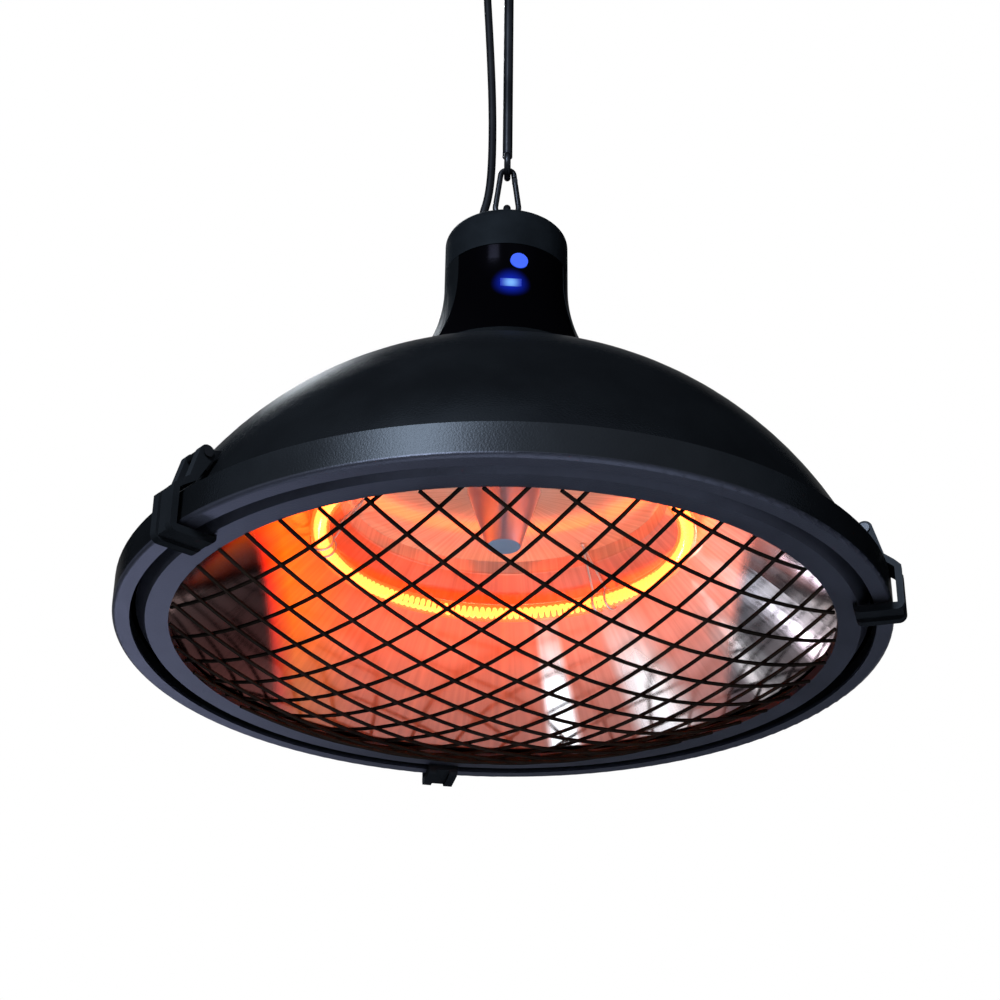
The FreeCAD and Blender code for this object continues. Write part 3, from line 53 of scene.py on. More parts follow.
# Ceiling plate, its gland and the rod's nuts: a turned steel disc in black powder coat, screwed to the
# ceiling through three holes, with a nylon gland for the cable and two plated nuts that clamp the rod.
# The coat has a fine orange-peel grain and slightly worn, smoother patches.
GRAINS_PER_PATCH = 40
PATCH_DETAIL = 4
PATCH_EDGES = (0.35, 0.65)
GRAIN_DETAIL = 2
GRAIN_STRENGTH = 0.35
SMOOTHEST = 0.02


def fitted(tree, kind, inputs, **settings):
    """A new node in a tree; each input is a plain value or another node's output."""
    node = tree.nodes.new(kind)
    for setting, value in settings.items():
        setattr(node, setting, value)
    for label, value in inputs.items():
        if isinstance(value, bpy.types.NodeSocket):
            tree.links.new(value, node.inputs[label])
        else:
            node.inputs[label].default_value = value
    return node


def coated(name, colour, shade_colour, roughness, grain, depth, gloss_spread=0.12, metallic=0.0,
           specular=0.5, edge=1.0):
    """A finish with a broad drift of colour and gloss, and a fine grain in the surface."""
    material = bpy.data.materials.new(name)
    material.use_nodes = True
    tree = material.node_tree
    shader = tree.nodes["Principled BSDF"]
    shader.inputs["Metallic"].default_value = metallic
    shader.inputs["Specular IOR Level"].default_value = specular
    shader.inputs["Specular Tint"].default_value = (edge, edge, edge, 1)
    place = fitted(tree, "ShaderNodeTexCoord", {}).outputs["Object"]
    drift = fitted(tree, "ShaderNodeTexNoise", {
        "Vector": place, "Scale": grain / GRAINS_PER_PATCH, "Detail": PATCH_DETAIL}).outputs["Fac"]
    tint = fitted(tree, "ShaderNodeValToRGB", {"Fac": drift})
    for stop, spot, paint in zip(tint.color_ramp.elements, PATCH_EDGES, (shade_colour, colour)):
        stop.position = spot
        stop.color = (*paint, 1)
    gloss = fitted(tree, "ShaderNodeMapRange", {
        "Value": drift, "To Min": max(SMOOTHEST, roughness - gloss_spread / 2),
        "To Max": roughness + gloss_spread / 2})
    fine = fitted(tree, "ShaderNodeTexNoise", {"Vector": place, "Scale": grain, "Detail": GRAIN_DETAIL})
    bump = fitted(tree, "ShaderNodeBump", {
        "Height": fine.outputs["Fac"], "Strength": GRAIN_STRENGTH, "Distance": depth})
    tree.links.new(tint.outputs["Color"], shader.inputs["Base Color"])
    tree.links.new(gloss.outputs["Result"], shader.inputs["Roughness"])
    tree.links.new(bump.outputs["Normal"], shader.inputs["Normal"])
    return material


def dress(material, *names):
    """Give CAD nodes a finish."""
    for name in names:
        nodes[name].data.materials.clear()
        nodes[name].data.materials.append(material)


POWDER = {"roughness": 0.37, "grain": 1100, "depth": 0.00025, "metallic": 0.8, "specular": 0.0}
powder_coat = coated("powder_coat", (0.0105, 0.0125, 0.0155), (0.0085, 0.01, 0.0125), edge=0.07, **POWDER)
black_nylon = coated("black_nylon", (0.014, 0.014, 0.015), (0.009, 0.009, 0.01), roughness=0.5,
                     grain=1600, depth=0.0001, metallic=0.3, specular=0.0, edge=0.0)
zinc_plate = coated("zinc_plate", (0.6, 0.6, 0.6), (0.47, 0.46, 0.44), roughness=0.34,
                    grain=900, depth=0.00005, metallic=1.0)
dress(powder_coat, "ceiling_plate")
dress(black_nylon, "ceiling_gland")
dress(zinc_plate, "rod_nuts")

# Drop rod, snap hook, gate and eye bolt: black plated steel wire and bar, bent, welded and riveted.
# The hook's gate turns on a plain rivet and its spring keeps it shut against the nose.
black_plate = coated("black_plate", (0.014, 0.016, 0.02), (0.007, 0.008, 0.01), roughness=0.3,
                     grain=700, depth=0.0001, metallic=0.7, specular=0.0, edge=0.1)
dress(black_plate, "drop_rod", "snap_hook", "snap_hook_gate", "gate_pin", "eye_bolt")
dress(zinc_plate, "eye_washer", "eye_nut")

# Top cap and cap gland: cup moulded in fine-textured black plastic, pushed over the neck's spigot and
# clamped by the eye bolt; the cable enters beside the eye through a nylon gland.
cap_plastic = coated("cap_plastic", (0.005, 0.0064, 0.0084), (0.0036, 0.0046, 0.006), roughness=0.6,
                     grain=2400, depth=0.0001, metallic=0.3, specular=0.0, edge=0.3)
dress(cap_plastic, "top_cap")
dress(black_nylon, "cap_gland", "gland_locknut")

# Neck housing: flared black plastic moulding, satin, with a faint flow texture.
# It stands on the dome's flat land and three screws from the mounting disc below hold it.
neck_plastic = coated("neck_plastic", (0.006, 0.0073, 0.009), (0.0045, 0.0055, 0.0068), roughness=0.4,
                      grain=1500, depth=0.00008, metallic=0.5, specular=0.0, edge=0.22)
dress(neck_plastic, "neck_housing")

# Receiver window and its lights: dark tinted panel, polished, that passes the remote control's infrared
# light. The round lens and the bar below it are clear blue light pipes in front of small lamps on the
# board; a painted glow round the bar spreads a little way into the panel.
PATCH_DEPTH = 0.7
BAR_REACH = 0.0062
HALO_REACH = 0.012
window_tint = coated("window_tint", (0.0012, 0.0012, 0.0018), (0.0008, 0.0008, 0.0012), roughness=0.14,
                     grain=300, depth=0.00002, gloss_spread=0.05, metallic=0.5, specular=0.0, edge=0.0)


def clear(name, colour, roughness):
    """A clear tinted moulding, deeper in soft patches."""
    return coated(name, colour, tuple(channel * PATCH_DEPTH for channel in colour), roughness, grain=500,
                  depth=0.00005, specular=0.05)


def lit(name, colour, roughness, glow, strength):
    """A clear moulding that gives off light evenly."""
    material = clear(name, colour, roughness)
    shader = material.node_tree.nodes["Principled BSDF"]
    shader.inputs["Emission Color"].default_value = (*glow, 1)
    shader.inputs["Emission Strength"].default_value = strength
    return material


def fade_out(material, middle, reach, inner, outer, strength):
    """Light in a material that fades from one colour at a point to another at the end of its reach."""
    tree = material.node_tree
    shader = tree.nodes["Principled BSDF"]
    place = fitted(tree, "ShaderNodeTexCoord", {})
    away = fitted(tree, "ShaderNodeVectorMath", {0: place.outputs["Object"], 1: middle},
                  operation="DISTANCE")
    share = fitted(tree, "ShaderNodeMapRange", {"Value": away.outputs["Value"], "From Max": reach},
                   interpolation_type="SMOOTHSTEP")
    fade = fitted(tree, "ShaderNodeValToRGB", {"Fac": share.outputs["Result"]})
    fade.color_ramp.elements[0].color = (*inner, 1)
    fade.color_ramp.elements[1].color = (*outer, 1)
    tree.links.new(fade.outputs["Color"], shader.inputs["Emission Color"])
    shader.inputs["Emission Strength"].default_value = strength


bar_low, bar_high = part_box("indicator_bar")
bar_middle = (bar_low + bar_high) / 2
blue_bar = clear("blue_bar", (0.01, 0.02, 0.1), roughness=0.2)
fade_out(blue_bar, bar_middle, BAR_REACH, (0.21, 0.5, 0.95), (0.003, 0.012, 0.3), strength=1.0)
# Painted glow: blue light round the bar, fading out across the window panel.
fade_out(window_tint, bar_middle, HALO_REACH, (0.008, 0.03, 0.7), (0.0, 0.0, 0.0), strength=0.7)
blue_lens = lit("blue_lens", (0.03, 0.05, 0.3), roughness=0.3, glow=(0.03, 0.11, 0.98), strength=0.75)
dress(window_tint, "receiver_window", "infrared_receiver")
dress(blue_lens, "indicator_lens")
dress(blue_bar, "indicator_bar")

# Electrics in the neck: terminal block, lacquered board on a bent bracket, relay, thermal cut-out and
# supply lead. They are screwed or soldered in place and hidden once the neck is closed.
block_plastic = coated("block_plastic", (0.75, 0.72, 0.62), (0.68, 0.64, 0.54), roughness=0.5,
                       grain=900, depth=0.0001)
board_lacquer = coated("board_lacquer", (0.03, 0.16, 0.07), (0.02, 0.11, 0.05), roughness=0.28,
                       grain=500, depth=0.00005)
relay_case = coated("relay_case", (0.05, 0.16, 0.42), (0.04, 0.12, 0.34), roughness=0.4,
                    grain=800, depth=0.00005)
cable_sheath = coated("cable_sheath", (0.008, 0.009, 0.011), (0.005, 0.0055, 0.007), roughness=0.5,
                      grain=1400, depth=0.0001, metallic=0.5, specular=0.0, edge=0.2)
dress(block_plastic, "terminal_block")
dress(board_lacquer, "control_board")
dress(relay_case, "relay")
dress(cable_sheath, "supply_lead")
dress(zinc_plate, "board_bracket", "thermal_cutout")

# Shade: steel dome, spun in one piece, with a ledge above its straight rim and a lip folded in under it.
# It wears the ceiling plate's black powder coat, lightened under the lip where the guard seats by a painted
# sheen and a stronger edge reflection, and is clamped between the neck and the mounting disc.
PAINTED_SHEEN_COLOUR = (0.039, 0.043, 0.062)
SHEEN_EDGE = 0.5
SHEEN_START = 0.0025
SHEEN_FULL = 0.0008


def share_of(tree, value, start, end, most=1.0):
    """The share, up to the most, by which a value has gone from start to end."""
    return fitted(tree, "ShaderNodeMapRange", {
        "Value": value, "From Min": start, "From Max": end, "To Max": most}).outputs["Result"]


def mixed(tree, share, first, second):
    """A colour mix; an input is a colour or another node's output."""
    return fitted(tree, "ShaderNodeMix", {"Factor": share, "A": first, "B": second},
                  data_type="RGBA").outputs["Result"]


shade_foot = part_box("shade")[0].z
shade_coat = powder_coat.copy()
shade_coat.name = "shade_coat"
shade_tree = shade_coat.node_tree
shade_shader = shade_tree.nodes["Principled BSDF"]
shade_place = fitted(shade_tree, "ShaderNodeTexCoord", {})
shade_split = fitted(shade_tree, "ShaderNodeSeparateXYZ", {"Vector": shade_place.outputs["Object"]})
under_lip = share_of(shade_tree, shade_split.outputs["Z"], shade_foot + SHEEN_START, shade_foot + SHEEN_FULL)
plain_colour = shade_shader.inputs["Base Color"].links[0].from_socket
plain_edge = shade_shader.inputs["Specular Tint"].default_value
# Painted sheen: the lip's underside takes the pale sheen colour in place of the black coat.
shade_tree.links.new(mixed(shade_tree, under_lip, plain_colour, (*PAINTED_SHEEN_COLOUR, 1)),
                     shade_shader.inputs["Base Color"])
shade_tree.links.new(mixed(shade_tree, under_lip, plain_edge, (SHEEN_EDGE, SHEEN_EDGE, SHEEN_EDGE, 1)),
                     shade_shader.inputs["Specular Tint"])
dress(shade_coat, "shade")

# Mounting disc, heat shield, spacers, bolts and nuts: a stamped steel disc, zinc plated, under the dome's
# land. Three bolts with turned spacers hang the spun aluminium shield and the reflector from it.
bare_aluminium = coated("bare_aluminium", (0.72, 0.72, 0.73), (0.6, 0.6, 0.61), roughness=0.35,
                        grain=800, depth=0.00005, metallic=1.0)
dress(zinc_plate, "mounting_disc", "reflector_bolts", "lower_spacers", "upper_spacers", "bolt_nuts",
      "neck_screws", "neck_nuts", "cone_nut")
dress(bare_aluminium, "heat_shield")

# Reflector: aluminium cone with a stepped flat top, pressed, polished to a soft mirror and hung by three
# bolts. Its colour holds painted light across the wall: a painted dark reflection on the left side, the
# coil's painted glow and reflection in straw, orange and red in the middle and on the plate, and painted
# grey and pale reflections on the right side and in three upright streaks, where it is bare metal.
# Painted shade darkens the wall towards the mouth and blackens the out-turned rim.
PLATE_STEP = 0.0085
PLATE_FADE = 0.002
# Painted glow: the plate's warm colour stands in for the lit coil's light on it.
PLATE_PAINTED_GLOW = (0.74, 0.46, 0.34, 1)
PLATE_METAL = (0.45, 0.45, 0.45, 1)
TINT_REACH = 0.19
# Painted light across the wall, left to right: painted dark reflection, the coil's painted glow, painted
# grey and pale reflection.
WALL_PAINTED_LIGHT = [  # place across the wall, colour, share of bare metal
    (-0.134, (0.08, 0.03, 0.03), 1.0), (-0.13, (0.8, 0.03, 0.003), 0.2), (-0.12, (0.92, 0.24, 0.002), 0.2),
    (-0.088, (0.64, 0.13, 0.045), 0.25), (0.0, (0.53, 0.11, 0.035), 0.2), (0.07, (0.6, 0.26, 0.2), 0.35),
    (0.128, (0.95, 0.62, 0.6), 0.45), (0.134, (0.5, 0.49, 0.55), 1.0), (0.18, (0.95, 0.95, 0.97), 1.0)]
BARE_REFLECTION_STREAKS = [  # degrees round the wall, share of bare metal
    (0, 0.0), (22, 0.0), (24, 0.4), (32, 0.4), (34, 0.0), (46, 0.0), (50, 0.5), (54.5, 0.9), (60, 0.7),
    (63, 0.0), (73.5, 0.0), (75, 1.0), (79.5, 0.9), (81, 0.0)]
# Painted reflection: the pale colour of the three bright streaks.
STREAK_PAINTED_REFLECTION = (0.9, 0.9, 0.92, 1)
STREAK_START = 0.015
STREAK_FULL = 0.05
# Painted shade: the wall's colour darkens towards the mouth.
MOUTH_PAINTED_SHADE = (0.19, 0.055, 0.045, 1)
MOUTH_START = 0.035
MOUTH_SHARE = 0.7
# Painted shade: the out-turned rim, seen through the groove, is painted black.
RIM_PAINTED_SHADE = (0.006, 0.006, 0.007, 1)
RIM_START = 0.0012
RIM_FULL = 0.0006
BARE = (1, 1, 1, 1)
BLACK = (0, 0, 0, 1)
RUBS_AROUND = 40
RUBS_UPWARDS = 8
RUB_DETAIL = 5
RUB_EDGES = (0.3, 0.7)
RUB_SHADE = 0.72
RUB_STRENGTH = 0.1
RUB_DEPTH = 0.0003
POLISH_ROUGHNESS = (0.06, 0.17)
reflector_low, reflector_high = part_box("reflector")
wall_top = reflector_high.z - PLATE_STEP
reflector_polish = bpy.data.materials.new("reflector_polish")
reflector_polish.use_nodes = True
polish_tree = reflector_polish.node_tree
polish_shader = polish_tree.nodes["Principled BSDF"]


def sum_of(tree, operation, *values):
    """The result of a Math node; an input is a number or another node's output."""
    return fitted(tree, "ShaderNodeMath", dict(enumerate(values)), operation=operation).outputs["Value"]


def ramp_of(value, low, high, stops):
    """A colour ramp in the reflector's tree over a value that runs from low to high."""
    ramp = fitted(polish_tree, "ShaderNodeValToRGB", {"Fac": share_of(polish_tree, value, low, high)})
    for index, (spot, colour) in enumerate(stops):
        place = (spot - low) / (high - low)
        stop = ramp.color_ramp.elements[index] if index < 2 else ramp.color_ramp.elements.new(place)
        stop.position = place
        stop.color = colour
    return ramp.outputs


polish_place = fitted(polish_tree, "ShaderNodeTexCoord", {})
polish_split = fitted(polish_tree, "ShaderNodeSeparateXYZ", {
    "Vector": polish_place.outputs["Object"]}).outputs
polish_turn = sum_of(polish_tree, "ARCTAN2", polish_split["Y"], polish_split["X"])
wall_painted_light = ramp_of(polish_split["X"], -TINT_REACH, TINT_REACH,
                     [(spot, (*tint, bare)) for spot, tint, bare in WALL_PAINTED_LIGHT])
bare_reflection_streaks = ramp_of(polish_turn, 0, math.pi,
                       [(math.radians(turn), (bare, bare, bare, 1)) for turn, bare in BARE_REFLECTION_STREAKS])
low_down = share_of(polish_tree, polish_split["Z"], wall_top - STREAK_START, wall_top - STREAK_FULL)
reflection_streak_share = sum_of(polish_tree, "MULTIPLY", bare_reflection_streaks["Color"], low_down)
near_mouth = share_of(polish_tree, polish_split["Z"], wall_top - MOUTH_START, reflector_low.z, MOUTH_SHARE)
on_plate = share_of(polish_tree, polish_split["Z"], wall_top, wall_top + PLATE_FADE)
on_rim = share_of(polish_tree, polish_split["Z"], reflector_low.z + RIM_START, reflector_low.z + RIM_FULL)
shaded_near_mouth = mixed(polish_tree, near_mouth, wall_painted_light["Color"], MOUTH_PAINTED_SHADE)
wall_colour = mixed(polish_tree, reflection_streak_share, shaded_near_mouth, STREAK_PAINTED_REFLECTION)
wall_metal = mixed(polish_tree, reflection_streak_share, wall_painted_light["Alpha"], BARE)
plate_colour = mixed(polish_tree, on_plate, wall_colour, PLATE_PAINTED_GLOW)
polish_colour = mixed(polish_tree, on_rim, plate_colour, RIM_PAINTED_SHADE)
polish_flow = fitted(polish_tree, "ShaderNodeCombineXYZ", {
    "X": sum_of(polish_tree, "MULTIPLY", polish_turn, RUBS_AROUND),
    "Y": sum_of(polish_tree, "MULTIPLY", polish_split["Z"], RUBS_UPWARDS)})
polish_rubs = fitted(polish_tree, "ShaderNodeTexNoise", {
    "Vector": polish_flow.outputs["Vector"], "Scale": 1, "Detail": RUB_DETAIL}).outputs["Fac"]
polish_depth = fitted(polish_tree, "ShaderNodeMapRange", {
    "Value": polish_rubs, "From Min": RUB_EDGES[0], "From Max": RUB_EDGES[1], "To Min": RUB_SHADE})
polish_worn = fitted(polish_tree, "ShaderNodeMix", {
    "Factor": 1.0, "A": polish_colour, "B": polish_depth.outputs["Result"]},
    data_type="RGBA", blend_type="MULTIPLY")
polish_gloss = fitted(polish_tree, "ShaderNodeMapRange", {
    "Value": polish_rubs, "To Min": POLISH_ROUGHNESS[0], "To Max": POLISH_ROUGHNESS[1]})
polish_bump = fitted(polish_tree, "ShaderNodeBump", {
    "Height": polish_rubs, "Strength": RUB_STRENGTH, "Distance": RUB_DEPTH})
for polish_label, polish_source in (
        ("Base Color", polish_worn.outputs["Result"]),
        ("Metallic", mixed(polish_tree, on_plate, wall_metal, PLATE_METAL)),
        ("Specular Tint", mixed(polish_tree, on_rim, BARE, BLACK)),
        ("Roughness", polish_gloss.outputs["Result"]),
        ("Normal", polish_bump.outputs["Normal"])):
    polish_tree.links.new(polish_source, polish_shader.inputs[polish_label])
dress(reflector_polish, "reflector")

# Centre cone: small spun aluminium cone, bolted under the reflector's plate by the stud in its middle.
# Its metal is bare, with a cool tone and a fine brushed grain.
cone_brush = coated("cone_brush", (0.34, 0.46, 0.66), (0.28, 0.38, 0.55), roughness=0.3,
                    grain=700, depth=0.00006, metallic=1.0)
dress(cone_brush, "centre_cone")

# Quartz tube: open ring bent from clear drawn quartz, held in ceramic caps at its two ends.
# It is polished and slightly hazed, tinted warm and given a painted orange glow for the lit coil inside.
HAZE_SCALE = 60
HAZE_ROUGHNESS = 0.06
quartz = bpy.data.materials.new("quartz")
quartz.use_nodes = True
quartz_tree = quartz.node_tree
quartz_shader = quartz_tree.nodes["Principled BSDF"]
quartz_shader.inputs["Base Color"].default_value = (1.0, 0.86, 0.7, 1)
quartz_shader.inputs["Transmission Weight"].default_value = 1.0
quartz_shader.inputs["IOR"].default_value = 1.2
# Painted glow of the lit coil in the glass.
quartz_shader.inputs["Emission Color"].default_value = (1.0, 0.12, 0.015, 1)
quartz_shader.inputs["Emission Strength"].default_value = 0.35
quartz_place = fitted(quartz_tree, "ShaderNodeTexCoord", {})
quartz_haze = fitted(quartz_tree, "ShaderNodeTexNoise", {
    "Vector": quartz_place.outputs["Object"], "Scale": HAZE_SCALE})
quartz_gloss = fitted(quartz_tree, "ShaderNodeMapRange", {
    "Value": quartz_haze.outputs["Fac"], "To Max": HAZE_ROUGHNESS})
quartz_tree.links.new(quartz_gloss.outputs["Result"], quartz_shader.inputs["Roughness"])
dress(quartz, "quartz_tube")

# Heating coil: fine resistance wire wound into a close helix along the ring, red hot; it lies inside the
# tube. The winding follows a rule, so a node tree makes it from the ring's and the wire's sizes.
COIL_RING_RADIUS = 0.1
COIL_START = math.radians(287)
COIL_SWEEP = math.radians(326)
WINDING_RADIUS = 0.0024
WIRE_RADIUS = 0.0012
WIRE_SIDES = 6
COIL_CURLS = 154
POINTS_PER_CURL = 18
tube_low, tube_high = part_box("quartz_tube")
hot_wire = lit("hot_wire", (0.9, 0.4, 0.12), roughness=0.5, glow=(1.0, 0.16, 0.032), strength=6.0)
winding = bpy.data.node_groups.new("coil_winding", "GeometryNodeTree")
winding.is_modifier = True
winding.interface.new_socket("Geometry", in_out="OUTPUT", socket_type="NodeSocketGeometry")
coil_inputs = {}
for coil_label, coil_kind in (
        ("Ring radius", "Float"), ("Ring height", "Float"), ("Winding radius", "Float"),
        ("Wire radius", "Float"), ("Start angle", "Float"), ("Sweep", "Float"),
        ("Curls", "Int"), ("Points per curl", "Int")):
    coil_socket = winding.interface.new_socket(coil_label, in_out="INPUT",
                                               socket_type=f"NodeSocket{coil_kind}")
    coil_inputs[coil_label] = coil_socket.identifier


def coil_sum(operation, *values):
    """The result of a Math node in the coil's tree."""
    return sum_of(winding, operation, *values)


coil_in = fitted(winding, "NodeGroupInput", {}).outputs
coil_points = coil_sum("MULTIPLY", coil_in["Curls"], coil_in["Points per curl"])
coil_index = fitted(winding, "GeometryNodeInputIndex", {})
along_share = coil_sum("DIVIDE", coil_index.outputs["Index"], coil_sum("SUBTRACT", coil_points, 1))
coil_phase = coil_sum("MULTIPLY", coil_sum("MULTIPLY", along_share, coil_in["Curls"]), 2 * math.pi)
coil_angle = coil_sum("ADD", coil_in["Start angle"], coil_sum("MULTIPLY", along_share, coil_in["Sweep"]))
coil_reach = coil_sum("ADD", coil_in["Ring radius"],
                      coil_sum("MULTIPLY", coil_in["Winding radius"], coil_sum("COSINE", coil_phase)))
coil_rise = coil_sum("ADD", coil_in["Ring height"],
                     coil_sum("MULTIPLY", coil_in["Winding radius"], coil_sum("SINE", coil_phase)))
coil_place = fitted(winding, "ShaderNodeCombineXYZ", {
    "X": coil_sum("MULTIPLY", coil_reach, coil_sum("COSINE", coil_angle)),
    "Y": coil_sum("MULTIPLY", coil_reach, coil_sum("SINE", coil_angle)),
    "Z": coil_rise})
coil_line = fitted(winding, "GeometryNodeMeshLine", {"Count": coil_points})
coil_curve = fitted(winding, "GeometryNodeMeshToCurve", {"Mesh": coil_line.outputs["Mesh"]})
coil_set = fitted(winding, "GeometryNodeSetPosition", {
    "Geometry": coil_curve.outputs["Curve"], "Position": coil_place.outputs["Vector"]})
coil_section = fitted(winding, "GeometryNodeCurvePrimitiveCircle", {
    "Resolution": WIRE_SIDES, "Radius": coil_in["Wire radius"]})
coil_tube = fitted(winding, "GeometryNodeCurveToMesh", {
    "Curve": coil_set.outputs["Geometry"], "Profile Curve": coil_section.outputs["Curve"],
    "Fill Caps": True})
coil_real = fitted(winding, "GeometryNodeRealizeInstances", {"Geometry": coil_tube.outputs["Mesh"]})
coil_paint = fitted(winding, "GeometryNodeSetMaterial", {
    "Geometry": coil_real.outputs["Geometry"], "Material": hot_wire})
fitted(winding, "NodeGroupOutput", {"Geometry": coil_paint.outputs["Geometry"]})


def mesh_of(carrier):
    """The plain mesh that an object shows."""
    return bpy.data.meshes.new_from_object(carrier.evaluated_get(bpy.context.evaluated_depsgraph_get()))


def smooth(mesh):
    """Shade all faces of a mesh as one rounded surface."""
    mesh.polygons.foreach_set("use_smooth", [True] * len(mesh.polygons))


heating_coil = bpy.data.objects.new("fine_heating_coil", bpy.data.meshes.new("fine_heating_coil_base"))
scene.collection.objects.link(heating_coil)
coil_modifier = heating_coil.modifiers.new("winding", "NODES")
coil_modifier.node_group = winding
for coil_label, coil_value in (
        ("Ring radius", COIL_RING_RADIUS), ("Ring height", (tube_low.z + tube_high.z) / 2),
        ("Winding radius", WINDING_RADIUS), ("Wire radius", WIRE_RADIUS),
        ("Start angle", COIL_START), ("Sweep", COIL_SWEEP),
        ("Curls", COIL_CURLS), ("Points per curl", POINTS_PER_CURL)):
    coil_modifier[coil_inputs[coil_label]] = coil_value
coil_mesh = mesh_of(heating_coil)
heating_coil.modifiers.remove(coil_modifier)
heating_coil.data = coil_mesh
smooth(coil_mesh)
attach(heating_coil, "heater")
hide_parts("heating_coil")

# Ceramic end caps, sleeved leads and wire hangers: the caps hold the tube's ends and pass the leads up
# through the reflector; three bent steel wires carry the ring.
glazed_ceramic = coated("glazed_ceramic", (0.78, 0.74, 0.68), (0.68, 0.63, 0.57), roughness=0.3,
                        grain=500, depth=0.00005)
woven_sleeve = coated("woven_sleeve", (0.72, 0.68, 0.58), (0.55, 0.51, 0.43), roughness=0.8,
                      grain=2600, depth=0.0003)
dress(glazed_ceramic, "tube_end_caps")
dress(woven_sleeve, "tube_leads")
dress(zinc_plate, "tube_hangers")

# Guard ring: steel strip rolled into a channel ring and welded, in a black coat lightened by the same
# painted sheen as the lip's underside. It nests inside the lip and the three latches hold it up.
RING_PATCH_DEPTH = 0.8
ring_coat = coated("ring_coat", PAINTED_SHEEN_COLOUR, tuple(channel * RING_PATCH_DEPTH for channel in PAINTED_SHEEN_COLOUR),
                   edge=SHEEN_EDGE, **POWDER)
dress(ring_coat, "guard_ring")

# Guard wires: two crossing families of drawn steel wire, spot welded to each other and to the guard ring.
# Their black enamel browns with heat.
guard_enamel = coated("guard_enamel", (0.016, 0.012, 0.01), (0.008, 0.0065, 0.006), roughness=0.38,
                      grain=900, depth=0.00012, metallic=0.4, specular=0.0, edge=0.05)
dress(guard_enamel, "guard_wires_front", "guard_wires_back")

# Latches, lugs and pins: moulded black channels that swing on steel pins through lugs welded to the dome,
# and hook under the guard ring.
latch_plastic = coated("latch_plastic", (0.008, 0.0095, 0.012), (0.006, 0.0072, 0.009), roughness=0.3,
                       grain=1300, depth=0.0001, metallic=0.15, specular=0.0, edge=0.05)
dress(latch_plastic, "latch_left", "latch_right", "latch_rear")
dress(powder_coat, "latch_lugs")
dress(black_plate, "latch_pins")

# Power cable: round flexible cable in a black rubber sheath, from the cap's gland up beside the hook to
# the ceiling. It bends where the heater swings; its mesh here is one fixed tube along a smooth line.
CABLE_RADIUS = 0.0025
cable_route = [(-0.015, 0, -0.2397), (-0.0148, 0, -0.2325), (-0.0108, 0, -0.217), (-0.0092, 0, -0.192),
               (-0.0094, 0, -0.15), (-0.0116, 0, -0.1), (-0.014, 0, -0.058), (-0.015, 0, -0.032),
               (-0.015, 0, -0.018)]
cable_line = bpy.data.curves.new("cable_line", "CURVE")
cable_line.dimensions = "3D"
cable_line.resolution_u = 14
cable_spline = cable_line.splines.new("NURBS")
cable_spline.points.add(len(cable_route) - 1)
for cable_point, cable_spot in zip(cable_spline.points, cable_route):
    cable_point.co = (*cable_spot, 1)
cable_spline.order_u = 3
cable_spline.use_endpoint_u = True
cable_carrier = bpy.data.objects.new("cable_line", cable_line)
scene.collection.objects.link(cable_carrier)
cable_path = [vertex.co.copy() for vertex in mesh_of(cable_carrier).vertices]
cable_line.bevel_depth = CABLE_RADIUS
cable_line.bevel_resolution = 5
cable_line.use_fill_caps = True
cable_tube = mesh_of(cable_carrier)
bpy.data.objects.remove(cable_carrier)
cable_tube.materials.clear()
cable_tube.materials.append(cable_sheath)
smooth(cable_tube)
power_cable = bpy.data.objects.new("power_cable_sheath", cable_tube)
scene.collection.objects.link(power_cable)
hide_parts("power_cable")
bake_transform(power_cable)

# Studio: pale matt floor well below the heater and a white surround. One soft lamp stands on the left in
# front, a weak one on the right, a broad one above and behind, and two low behind on the left.
FLOOR_HEIGHT = -1.45
FLOOR_REACH = 6
HEATER_MIDDLE = Vector((0, 0, -0.42))
floor_corners = [(across * FLOOR_REACH, along * FLOOR_REACH, FLOOR_HEIGHT)
                 for across, along in ((-1, -1), (1, -1), (1, 1), (-1, 1))]
floor_mesh = bpy.data.meshes.new("floor")
floor_mesh.from_pydata(floor_corners, [], [(0, 1, 2, 3)])
floor_mesh.materials.append(coated("floor_paint", (0.72, 0.72, 0.72), (0.69, 0.69, 0.69), roughness=0.7,
                                   grain=60, depth=0.0002))
floor = bpy.data.objects.new("floor", floor_mesh)
scene.collection.objects.link(floor)

surround = bpy.data.worlds.new("surround")
scene.world = surround
surround.use_nodes = True
sky = surround.node_tree
ambient = sky.nodes["Background"]
ambient.inputs["Color"].default_value = (0.9, 0.95, 1.0, 1)
ambient.inputs["Strength"].default_value = 0.25
white = fitted(sky, "ShaderNodeBackground", {"Color": (1, 1, 1, 1), "Strength": 1.0})
seen = fitted(sky, "ShaderNodeLightPath", {}).outputs
seen_or_mirrored = sum_of(sky, "MAXIMUM", seen["Is Camera Ray"], seen["Is Glossy Ray"])
shown = sum_of(sky, "MAXIMUM", seen_or_mirrored, seen["Is Transmission Ray"])
sky_mix = fitted(sky, "ShaderNodeMixShader", {
    "Fac": shown, 1: ambient.outputs["Background"], 2: white.outputs["Background"]})
sky.links.new(sky_mix.outputs["Shader"], sky.nodes["World Output"].inputs["Surface"])


def panel(name, spot, size, power):
    """A rectangular lamp that shines straight down until it is turned."""
    light = bpy.data.lights.new(name, "AREA")
    light.shape = "RECTANGLE"
    light.size, light.size_y = size
    light.energy = power
    carrier = bpy.data.objects.new(name, light)
    carrier.location = spot
    scene.collection.objects.link(carrier)
    return carrier


def softbox(name, spot, size, power, colour, spread):
    """A soft lamp that faces the heater's middle."""
    carrier = panel(name, spot, size, power)
    carrier.data.color = colour
    carrier.data.spread = math.radians(spread)
    carrier.rotation_euler = (HEATER_MIDDLE - Vector(spot)).to_track_quat("-Z", "Y").to_euler()


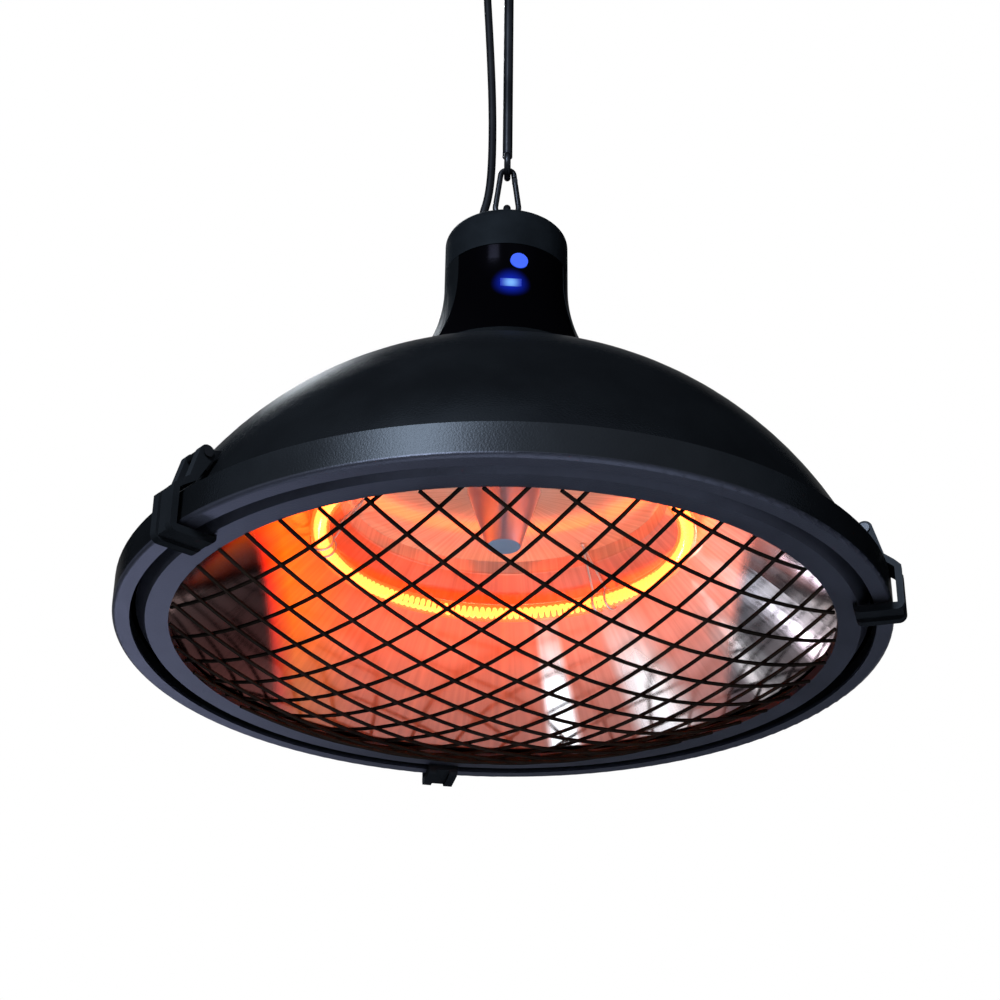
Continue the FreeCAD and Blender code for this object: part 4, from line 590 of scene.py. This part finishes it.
softbox("front_softbox", (-0.88, -2.03, 0.72), size=(0.7, 0.9), power=13,
        colour=(0.88, 0.94, 1.0), spread=50)
softbox("fill_softbox", (0.68, -2.09, 0.72), size=(1.3, 0.9), power=0.4,
        colour=(0.9, 0.95, 1.0), spread=50)
softbox("top_softbox", (-0.75, 1.05, 1.3), size=(0.9, 0.8), power=30,
        colour=(0.88, 0.94, 1.0), spread=50)
softbox("low_softbox", (-1.15, 2.15, -1.25), size=(1.1, 0.9), power=1.3,
        colour=(0.92, 0.95, 1.0), spread=120)
softbox("lip_softbox", (-0.62, 1.75, -1.29), size=(0.6, 0.3), power=2.6,
        colour=(0.88, 0.88, 1.0), spread=120)

# Strip lamps: three small white panels that lie low under the heater and face up.
# The reflector mirrors them in its three bright streaks, on top of the streaks' painted reflection.
STRIP_HEIGHT = -1.2
for strip_name, strip_spot, strip_size, strip_turn, strip_power in (
        ("strip_near", (-0.14, 0.0), (0.08, 0.05), 90, 0.01),
        ("strip_middle", (-0.38, 0.17), (0.09, 0.12), 35, 0.03),
        ("strip_far", (-0.71, 0.75), (0.48, 0.022), -45, 0.1)):
    strip = panel(strip_name, (*strip_spot, STRIP_HEIGHT), strip_size, strip_power)
    strip.rotation_euler = (math.pi, 0, math.radians(strip_turn))
    strip.visible_camera = False

# Glow of the lit coil: small warm lamps set round the ring, just under the tube.
# They throw its light on the reflector and the guard.
GLOW_COUNT = 24
GLOW_POWER = 0.026
GLOW_COLOUR = (1.0, 0.27, 0.1)
GLOW_RADIUS = 0.007
GLOW_DROP = 0.022
for glow_index in range(GLOW_COUNT):
    glow_angle = COIL_START + COIL_SWEEP * (glow_index + 0.5) / GLOW_COUNT
    glow_light = bpy.data.lights.new(f"coil_glow_{glow_index}", "POINT")
    glow_light.energy = GLOW_POWER
    glow_light.color = GLOW_COLOUR
    glow_light.shadow_soft_size = GLOW_RADIUS
    glow_lamp = bpy.data.objects.new(f"coil_glow_{glow_index}", glow_light)
    glow_lamp.location = (COIL_RING_RADIUS * math.cos(glow_angle), COIL_RING_RADIUS * math.sin(glow_angle),
                          tube_low.z - GLOW_DROP)
    glow_lamp.visible_glossy = False
    scene.collection.objects.link(glow_lamp)

# Camera: low in front of the heater and looking up into it, as in the photograph.
# Its place and turn were fitted to the rims of the shade, the cap and the guard.
CAMERA_SPOT = Vector((0, -0.974, -0.941))
CAMERA_PITCH = math.radians(27.99)
CAMERA_SWING = math.radians(-0.13)
CAMERA_ROLL = math.radians(0.64)
ahead = Vector((math.sin(CAMERA_SWING) * math.cos(CAMERA_PITCH),
                math.cos(CAMERA_SWING) * math.cos(CAMERA_PITCH), math.sin(CAMERA_PITCH)))
level_right = ahead.cross(Vector((0, 0, 1))).normalized()
level_up = level_right.cross(ahead)
camera_right = math.cos(CAMERA_ROLL) * level_right + math.sin(CAMERA_ROLL) * level_up
camera_up = math.cos(CAMERA_ROLL) * level_up - math.sin(CAMERA_ROLL) * level_right
lens = bpy.data.cameras.new("camera")
lens.sensor_width = 36
lens.lens = 72
lens.clip_start = 0.01
camera = bpy.data.objects.new("camera", lens)
camera.matrix_world = Matrix((
    (camera_right.x, camera_up.x, -ahead.x, CAMERA_SPOT.x),
    (camera_right.y, camera_up.y, -ahead.y, CAMERA_SPOT.y),
    (camera_right.z, camera_up.z, -ahead.z, CAMERA_SPOT.z),
    (0, 0, 0, 1)))
scene.collection.objects.link(camera)
scene.camera = camera
